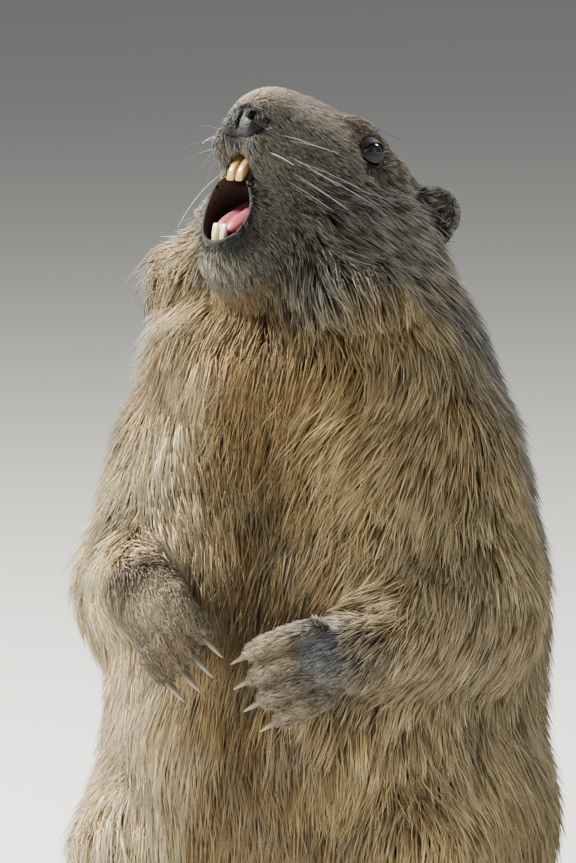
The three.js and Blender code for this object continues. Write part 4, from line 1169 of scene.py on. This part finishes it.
def hair_tree():
    """A node tree that turns lines into tapering hairs, with their thickness and sides as named inputs."""
    tree = bpy.data.node_groups.new("tapering_hairs", "GeometryNodeTree")
    sockets = {}
    for name, kind, value in (
        ("Lines", "Geometry", None), ("Radius", "Float", 0.0002), ("Tip share", "Float", 0.3),
        ("Sides", "Int", 5), ("Material", "Material", None),
    ):
        sockets[name] = tree.interface.new_socket(name, in_out="INPUT", socket_type=f"NodeSocket{kind}")
        if value is not None:
            sockets[name].default_value = value
    tree.interface.new_socket("Hairs", in_out="OUTPUT", socket_type="NodeSocketGeometry")
    given = tree.nodes.new("NodeGroupInput").outputs
    curves = add_node(tree, "GeometryNodeMeshToCurve", Mesh=given["Lines"])
    factor = add_node(tree, "GeometryNodeSplineParameter").outputs["Factor"]
    kept = add_node(
        tree, "GeometryNodeStoreNamedAttribute", {"=Name": "along"}, Geometry=curves.outputs[0], Value=factor)
    taper = add_node(tree, "ShaderNodeMapRange", {"=To Min": 1.0}, Value=factor)
    tree.links.new(given["Tip share"], taper.inputs["To Max"])
    ring = add_node(
        tree, "GeometryNodeCurvePrimitiveCircle", Resolution=given["Sides"], Radius=given["Radius"])
    solid = add_node(
        tree, "GeometryNodeCurveToMesh", {"=Fill Caps": True}, Curve=kept.outputs[0],
        Profile_Curve=ring.outputs[0], Scale=taper.outputs[0])
    real = add_node(tree, "GeometryNodeRealizeInstances", Geometry=solid.outputs[0])
    painted = add_node(tree, "GeometryNodeSetMaterial", Geometry=real.outputs[0], Material=given["Material"])
    add_node(tree, "NodeGroupOutput", Hairs=painted.outputs[0])
    return tree, {name: socket.identifier for name, socket in sockets.items()}


def grown(name, lines, material, radius):
    """Hairs along lines of equal counts of points, as one plain mesh."""
    tree, sockets = hair_tree()
    count, steps = len(lines), len(lines[0])
    guide = bpy.data.meshes.new(f"{name}_lines")
    starts = np.arange(count)[:, None] * steps + np.arange(steps - 1)
    edges = np.stack([starts, starts + 1], -1).reshape(-1, 2)
    guide.from_pydata((np.concatenate(lines) * MM).tolist(), edges.tolist(), [])
    holder = linked(f"{name}_holder", guide)
    modifier = holder.modifiers.new("hairs", "NODES")
    modifier.node_group = tree
    modifier[sockets["Radius"]] = radius * MM
    modifier[sockets["Material"]] = material
    seen = holder.evaluated_get(bpy.context.evaluated_depsgraph_get())
    piece = linked(name, bpy.data.meshes.new_from_object(seen))
    bpy.data.objects.remove(holder)
    return piece


def onto_skin(start, outward):
    """A point outside the skin, moved inward until it lies on it."""
    for _ in range(30):
        start = start - outward * max(SKIN(start[None])[0], 0) * 0.7
    return start


def whisker_hairs(rng):
    """Each whisker's root, direction and length, sorted into dark and pale ones."""
    hairs = {"dark": [], "pale": []}
    for side in SIDES.values():
        for row in range(4):
            for column in range(5):
                back = 10 + 4.2 * column + rng.normal(0, 0.6)
                up = 1 - 5 * row - 0.6 * column + rng.normal(0, 0.5)
                start = onto_skin(in_head(back, 30 * side, up), HEAD_LEFT * side)
                length = (26 + 7 * column) * (0.7 + 0.35 * rng.random()) * (1 - 0.15 * side)
                out = unit(HEAD_LEFT * side + HEAD_BACK * (0.1 + 0.2 * column)
                           + HEAD_UP * (0.2 - 0.16 * row) + rng.normal(0, 0.07, 3))
                tone = "pale" if rng.random() < 0.28 + 0.2 * side else "dark"
                hairs[tone].append((start, out, length))
        for k in range(3):
            start = onto_skin(in_head(50 + 3 * k, 22 * side, 39), HEAD_UP)
            out = unit(HEAD_UP * 0.3 + HEAD_BACK + HEAD_LEFT * side * 0.5)
            hairs["dark"].append((start, out, 18 + 3 * k))
    return hairs


class MARMOT_OT_whiskers(bpy.types.Operator):
    """Make the whiskers on the muzzle and over the eyes"""

    bl_idname = "marmot.whiskers"
    bl_label = "Whiskers"

    def execute(self, context):
        # Whisker: one stiff hair, dark at the root, some bleached pale.
        colours = {"dark": (0x141414, 0x3A3630), "pale": (0x8A8577, 0xF2EEE2)}
        t = np.linspace(0, 1, 12)[:, None]
        for tone, hairs in whisker_hairs(np.random.default_rng(RNG_SEED)).items():
            material = shaded_material(
                f"{tone}_whisker", "along", tuple(enumerate(colours[tone])), 2, 0, 0.1, Roughness=0.4)
            bend = HEAD_BACK * 0.18 - WORLD[2] * 0.1
            lines = [start - out * 1.5 + out * (length * t) + bend * (length * t**2)
                     for start, out, length in hairs]
            piece = grown(f"whiskers_{tone}", lines, material, 0.17)
            face_outward(piece)
            ride(piece, "face_fur")
        return {"FINISHED"}


# The coat. Roots are drawn on the skin, and each tuft is followed over it along the lie to its tip.
def scatter(mesh, count, rng):
    """Points drawn evenly over the mesh's triangles, weighted by how densely the coat grows there."""
    a, b, c = triangle_corners(mesh)
    middle = (a + b + c) / 3
    area = np.linalg.norm(np.cross(b - a, c - a), axis=1) / 2
    weight = area * density(middle) * bare(middle)
    picked = rng.choice(len(area), count, p=weight / weight.sum())
    u, v = np.sqrt(rng.random(count)), rng.random(count)
    return a[picked] * (1 - u)[:, None] + b[picked] * (u * (1 - v))[:, None] + c[picked] * (u * v)[:, None]


def natural_length(depth):
    return 3.2 + 2.25 * depth


def density(p):
    """Tufts to an area, so that short ones cover the skin as fully as long ones do."""
    length = natural_length(np.clip(-outline(p), 0.6, 14))
    return 6.5 / (length * (0.26 + 0.023 * length)) * np.interp(length, [5, 12, 30], [0.6, 0.8, 1.25])


def bare(p):
    """No tuft grows in the mouth, on the lips, nose and eyes, under the feet or where the animal sits."""
    _, left, up = head_frame(p).T
    free = (MOUTH_HOLLOW(p) > np.where(left > 0, 0.8, 1.8)) | (p[:, 2] < 270)
    free &= head_ball(NOSE)(p) > np.where(up > 7, -1.6, -0.4)
    for side in SIDES.values():
        free &= np.linalg.norm(p - eye_centre(side) - gaze(side) * 3, axis=1) > 6.9
    free &= p[:, 2] > 2.5
    return free.astype(float)


def lie_of(p):
    """The way the coat lies: each part's own, weighted by nearness, and away from the mouth and eyes."""
    parts = [*BODY.values(), *HEAD.values(), *SNOUT.values(), *TAIL_LENGTHS.values()]
    ways = [part[2] for part in parts]
    values = [part[1](p) for part in parts]
    for form in (*PAWS.values(), *FEET.values()):
        values.append(paw_field(form, DEPTH["paw"])(p))
        ways.append(form["digits"][1]["reach"] * 1.3)
    for side in SIDES.values():
        values.append(ear_field(side, DEPTH["ear"])(p))
        ways.append(HEAD_BACK * 0.5 + HEAD_UP * 0.9)
    values = np.stack(values)
    weight = np.exp(-np.clip(values - values.min(0), 0, 60) / 6)
    way = np.einsum("kn,kj->nj", weight, np.stack(ways))
    gape = in_head(*LIPS["centre"])
    edge = np.exp(-((np.maximum(lip_field(p), 0) / 5) ** 2))
    way += unit(p - gape) * edge[:, None]
    for side in SIDES.values():
        away = p - eye_centre(side)
        near = np.exp(-((np.maximum(np.linalg.norm(away, axis=1) - 8, 0) / 5) ** 2))
        way += unit(away) * (2.2 * near)[:, None]
    x, y, z = p.T
    chest = smoothstep(0, -30, y) * smoothstep(130, 190, z) * smoothstep(310, 270, z)
    way[:, 0] -= 0.55 * chest * np.clip(x / 50, -1, 1)
    sway = np.stack([np.sin(z * 0.045 + y * 0.03), np.sin(x * 0.05 + z * 0.03), 0 * z], 1)
    return unit(unit(way) + 0.13 * sway)


# Shares of its length at which a tuft has its root, bend and tip, and how deep its root is sunk.
TUFT_STEPS = np.array([0, 0.45, 1.0])
ROOT_SINK = 1.0


def follow(grid, roots, lies, lengths, rises):
    """Stations of each tuft: it leaves the skin, bends over and lies along it at a growing height."""
    stations, place, before = [], roots.copy(), 0.0
    for step in TUFT_STEPS:
        out = unit(grid.look(place)[1])
        ahead = unit(lies - out * np.einsum("ij,ij->i", lies, out)[:, None])
        place = place + ahead * (lengths * (step - before))[:, None]
        height, slope = grid.look(place)
        out = unit(slope)
        place = place - out * np.clip(height, -6, 6)[:, None]
        rise = rises * (1 - (1 - step) ** 1.35) - ROOT_SINK * (step == 0)
        stations.append(place + out * rise[:, None])
        before = step
    # A tuft that would double back at an edge of the skin runs on straight from its bend instead.
    root, bend, tip = stations
    first, second = bend - root, tip - bend
    hooked = np.einsum("ij,ij->i", unit(first), unit(second)) < 0.55
    straight = bend + unit(first) * np.minimum(0.6 * np.linalg.norm(second, axis=1), 5)[:, None]
    return np.stack([root, bend, np.where(hooked[:, None], straight, tip)], 1), out


def clumps(roots, rng):
    """The clump that each tuft belongs to, as the index of its leading tuft."""
    leaders = rng.choice(len(roots), len(roots) // 30, replace=False)
    tree = KDTree(len(leaders))
    for i, leader in enumerate(leaders):
        tree.insert(roots[leader], i)
    tree.balance()
    return leaders[[tree.find(root)[1] for root in roots]]


def draw_together(stations, leaders, amounts, rng):
    """Pulls the tufts' ends to those of their leaders, so that they clump as damp or coarse fur does."""
    pull = amounts * (0.4 + rng.random(len(stations)))[leaders]
    share = np.clip(pull[:, None] * TUFT_STEPS**1.4, 0, 0.92)[..., None]
    return stations + (stations[leaders] - stations) * share


MOST_TUFTS = 30000  # in one coat piece, of six triangles each
# The coat's regions, each with a slot name and the axis about which it is unrolled for its map.
REGIONS = {
    "head": ("face_fur", in_head(20, 0, -10), in_head(110, 0, -10)),
    "body": ("body_fur", (0, 6, 0), (0, 6, 330)),
    "tail": ("tail_fur", TAIL[0][0], TAIL[-1][0]),
}


def region_of(p):
    on_head = smoothstep(-14, 16, (p - in_head(66, 0, -66)) @ unit(HEAD_BACK * -0.35 + HEAD_UP * 0.94))
    on_tail = (p[:, 1] > 106) & (p[:, 2] < 70)
    return np.where(on_tail, "tail", np.where(on_head > 0.5, "head", "body"))


def unrolled(roots, start, end):
    """Each root's place on a map made by unrolling its region about an axis."""
    start, end = np.array(start, float), np.array(end, float)
    along = unit(end - start)
    across = unit(np.cross(along, (0.3, 1, 0.2)))
    other = np.cross(along, across)
    q = roots - start
    turn = np.arctan2(q @ other, q @ across) / (2 * np.pi) + 0.5
    reach = q @ along
    share = (reach - reach.min()) / np.ptp(reach)
    return np.stack([0.01 + 0.975 * turn, 0.01 + 0.975 * share], 1)


def tuft_piece(name, region, material, stations, sides, ups, widths, colours, roots):
    """One coat piece: each tuft is a closed spindle of three sides, bent at its widest place."""
    slot, start, end = REGIONS[region]
    wide, high = sides * widths[:, None], ups * (widths * 0.7)[:, None]
    root, bend, tip = stations.transpose(1, 0, 2)
    points = np.stack([root, bend - wide, bend + wide, bend + high, tip], 1)
    count, per = points.shape[:2]
    spindle = np.array([[0, 2, 1], [0, 3, 2], [0, 1, 3], [4, 1, 2], [4, 2, 3], [4, 3, 1]])
    faces = (spindle[None] + (np.arange(count) * per)[:, None, None]).reshape(-1, 3)
    piece = mesh_object(name, points.reshape(-1, 3), faces)
    set_colours(piece, colours[:, [0, 1, 1, 1, 2]].reshape(-1, 3))
    patch = np.array([[i % 3, i // 3] for i in range(per)]) * 0.001
    uv = (unrolled(roots, start, end)[:, None] + patch[None]).reshape(-1, 2)
    corners = np.empty(len(piece.data.loops), np.int32)
    piece.data.loops.foreach_get("vertex_index", corners)
    layer = piece.data.uv_layers.new(name="OFBake")
    layer.data.foreach_set("uv", uv[corners].astype(np.float32).ravel())
    piece.data.materials.append(material)
    face_outward(piece)
    ride(piece, slot)


def hair_colours(roots, leaders, lengths, rng, guard):
    """Root, middle and tip colours of each tuft: the markings there, varied from tuft to tuft."""
    tones = markings(roots)
    count = len(roots)
    clumped = rng.normal(0, 0.2, count)[leaders] * smoothstep(5, 25, lengths)
    shade = np.exp(rng.normal(0, 0.18, count) + clumped)[:, None]
    ticked = (guard | (rng.random(count) < 0.4))[:, None]
    root, middle, tip = tones[:, 0] * shade, tones[:, 1] * shade, tones[:, 2] * shade
    end = np.where(ticked, tip, tip * 0.45 + middle * 0.62 * 0.55)
    return np.clip(np.stack([root, root * 0.15 + middle * 0.85, end], 1), 0, 1)


# Guard hairs stand longer, higher and thinner than the rest, and hairs by the eyes and ears lie flat.
GUARD = {"share": 0.07, "length": 1.2, "rise": 1.35, "width": 0.7}
FLAT = {"by_ear": 2, "by_eye": 13, "length": 0.7, "rise": 0.5}


def tuft_sizes(roots, depth, longer, rng):
    """Length, rise and width of each tuft, which of them are guard hairs, and how tousled each one is."""
    count = len(roots)
    lengths = natural_length(depth) * longer * np.clip(rng.normal(1, 0.2, count), 0.5, 1.5)
    rises = depth * np.clip(rng.normal(0.85, 0.22, count), 0.35, 1.3)
    ruffs = [head_ball(form, side)(roots) for side in SIDES.values() for form in (RUFF, CHEEK)]
    tousled = np.max([smoothstep(14, -4, ruff) for ruff in ruffs], 0) * smoothstep(4, 8, depth)
    far = smoothstep(10, -20, head_frame(roots)[:, 1])
    rises *= 1 + (0.15 + 0.65 * far) * tousled * rng.random(count)
    guard = rng.random(count) < GUARD["share"]
    lengths = np.where(guard, lengths * GUARD["length"], lengths)
    flat = np.min([ear_field(side, 0)(roots) for side in SIDES.values()], 0) < FLAT["by_ear"]
    flat |= from_eye(roots) < FLAT["by_eye"]
    lengths = np.where(flat, lengths * FLAT["length"], lengths)
    rises = np.where(flat, rises * FLAT["rise"], rises)
    rises = np.where(guard, rises * GUARD["rise"], rises)
    rises = np.minimum(rises, depth + 4.5 + 20 * tousled)
    widths = (0.13 + 0.0115 * lengths) * np.clip(rng.normal(1, 0.25, count), 0.5, 1.6)
    return lengths, rises, np.where(guard, widths * GUARD["width"], widths), guard, tousled


class MARMOT_OT_coat(bpy.types.Operator):
    """Grow the coat over the skin as closed tufts"""

    bl_idname = "marmot.coat"
    bl_label = "Coat"

    def execute(self, context):
        settings = context.scene.marmot
        if "skin" not in bpy.data.objects:
            raise RuntimeError("make the skin before the coat")
        rng = np.random.default_rng(RNG_SEED)
        roots = scatter(bpy.data.objects["skin"].data, settings.tufts, rng)
        count = len(roots)
        depth = np.clip(-outline(roots), 0.8, 14)
        on_paw = np.min([paw_field(form, 0)(roots) for form in (*PAWS.values(), *FEET.values())], 0) < 4
        depth = np.where(on_paw, np.maximum(depth, 2.4), depth)
        lengths, rises, widths, guard, tousled = tuft_sizes(roots, depth, settings.tuft_length, rng)
        jitter = rng.normal(0, 1, (count, 3)) * np.interp(depth, [1, 6, 12], [0.1, 0.13, 0.16])[:, None]
        grid = skin_grid(settings.skin_step / MM)
        stations, outs = follow(grid, roots, unit(lie_of(roots) + jitter), lengths, rises)
        leaders = clumps(roots, rng)
        amounts = (settings.clump + 0.12 * tousled) * smoothstep(3, 16, lengths)
        stations = draw_together(stations, leaders, amounts, rng)
        # Each tuft's section is rolled about its length, with its ridge to the outside.
        ahead = unit(stations[:, 2] - stations[:, 0])
        flat = unit(np.cross(outs, ahead))
        roll = rng.normal(0, 0.6, count)[:, None]
        sides = unit(flat * np.cos(roll) + np.cross(ahead, flat) * np.sin(roll))
        ups = np.cross(sides, ahead)
        ups *= np.sign(np.einsum("ij,ij->i", ups, outs))[:, None]
        stations[..., 2] = np.maximum(stations[..., 2], 0.7)
        colours = hair_colours(roots, leaders, lengths, rng, guard)
        material = hair_material()
        region = region_of(roots)
        for name in REGIONS:
            chosen = np.flatnonzero(region == name)
            chosen = chosen[np.argsort(roots[chosen, 2])]
            parts = np.array_split(chosen, max(1, -(-len(chosen) // MOST_TUFTS)))
            for part, picked in enumerate(parts):
                tuft_piece(f"coat_{name}_{part + 1}", name, material,
                           *(each[picked] for each in (stations, sides, ups, widths, colours, roots)))
        return {"FINISHED"}


class MARMOT_OT_stage(bpy.types.Operator):
    """Set the floor, the soft lights and the camera"""

    bl_idname = "marmot.stage"
    bl_label = "Stage"

    def execute(self, context):
        half = context.scene.marmot.floor_size / MM
        corners = np.array([[-half, -half, 0], [half, -half, 0], [half, half, 0], [-half, half, 0]], float)
        floor = mesh_object("floor", corners, np.array([[0, 1, 2, 3]]), smooth=False)
        # Matt painted board: an even pale grey with no gloss.
        board, _, _ = new_material("painted_board", Roughness=0.9, **{"Base Color": rgba(0xCFCFCB)})
        floor.data.materials.append(board)
        world = bpy.data.worlds.new("studio")
        world.use_nodes = True
        background = world.node_tree.nodes["Background"]
        background.inputs["Color"].default_value = rgba(0xDDE1E4)
        background.inputs["Strength"].default_value = 0.3
        context.scene.world = world

        # The photo's scale in its own plane, and where the origin would fall in its 576 x 863 frame.
        mm_per_pixel, origin, frame_size = 0.47, (320, 945), (576, 863)
        right = np.array([0.927, 0.375, 0])
        up = np.array([-0.0327, 0.0808, 0.996])
        back = np.cross(right, up)
        target = right * (frame_size[0] / 2 - origin[0]) + up * (origin[1] - frame_size[1] / 2)
        target = target * mm_per_pixel
        distance, sensor = 8000.0, 36.0
        camera = linked("camera", bpy.data.cameras.new("camera"))
        camera.data.sensor_width = sensor
        camera.data.lens = sensor * distance / (frame_size[1] * mm_per_pixel)
        camera.data.clip_end = 100.0
        camera.location = Vector(unit(back) * distance + target) * MM
        camera.rotation_euler = Vector(-back).to_track_quat("-Z", "Y").to_euler()
        context.scene.camera = camera

        # Lights on the camera's axes, each with its power in watts and its size in metres.
        for name, direction, power, size in (
            ("key", -1.0 * right + 0.85 * up - 0.1 * back, 360, 0.5),
            ("fill", 0.9 * right + 0.35 * up + 0.8 * back, 7, 2.2),
            ("rim", 0.8 * right + 1.0 * up - 0.5 * back, 60, 0.6),
            ("front", -0.5 * right + 0.4 * up + 1.0 * back, 7, 1.6),
        ):
            light = linked(name, bpy.data.lights.new(name, "AREA"))
            light.data.energy = power
            light.data.size = size
            light.data.color = (1.0, 0.95, 0.87) if name == "key" else (0.93, 0.96, 1.0)
            light.location = Vector(target * MM + unit(direction) * 2.4)
            light.rotation_euler = Vector(-direction).to_track_quat("-Z", "Y").to_euler()
        return {"FINISHED"}


OPERATORS = (MARMOT_OT_skin, MARMOT_OT_eyes, MARMOT_OT_nose, MARMOT_OT_mouth, MARMOT_OT_claws,
             MARMOT_OT_whiskers, MARMOT_OT_coat, MARMOT_OT_stage)


class MARMOT_PT_panel(bpy.types.Panel):
    """Sizes, colours and pieces of the marmot"""

    bl_idname = "MARMOT_PT_panel"
    bl_label = "Marmot"
    bl_space_type = "VIEW_3D"
    bl_region_type = "UI"
    bl_category = "Marmot"

    def draw(self, context):
        for name in MarmotSettings.__annotations__:
            self.layout.prop(context.scene.marmot, name)
        for operator in OPERATORS:
            self.layout.operator(operator.bl_idname)


CLASSES = (MarmotSettings, *OPERATORS, MARMOT_PT_panel)


def register():
    for each in CLASSES:
        bpy.utils.register_class(each)
    bpy.types.Scene.marmot = bpy.props.PointerProperty(type=MarmotSettings)


def unregister():
    del bpy.types.Scene.marmot
    for each in reversed(CLASSES):
        bpy.utils.unregister_class(each)


def main():
    register()
    for step in (bpy.ops.marmot.skin, bpy.ops.marmot.eyes, bpy.ops.marmot.nose, bpy.ops.marmot.mouth,
                 bpy.ops.marmot.claws, bpy.ops.marmot.whiskers, bpy.ops.marmot.coat, bpy.ops.marmot.stage):
        step()


if __name__ == "__main__":
    main()
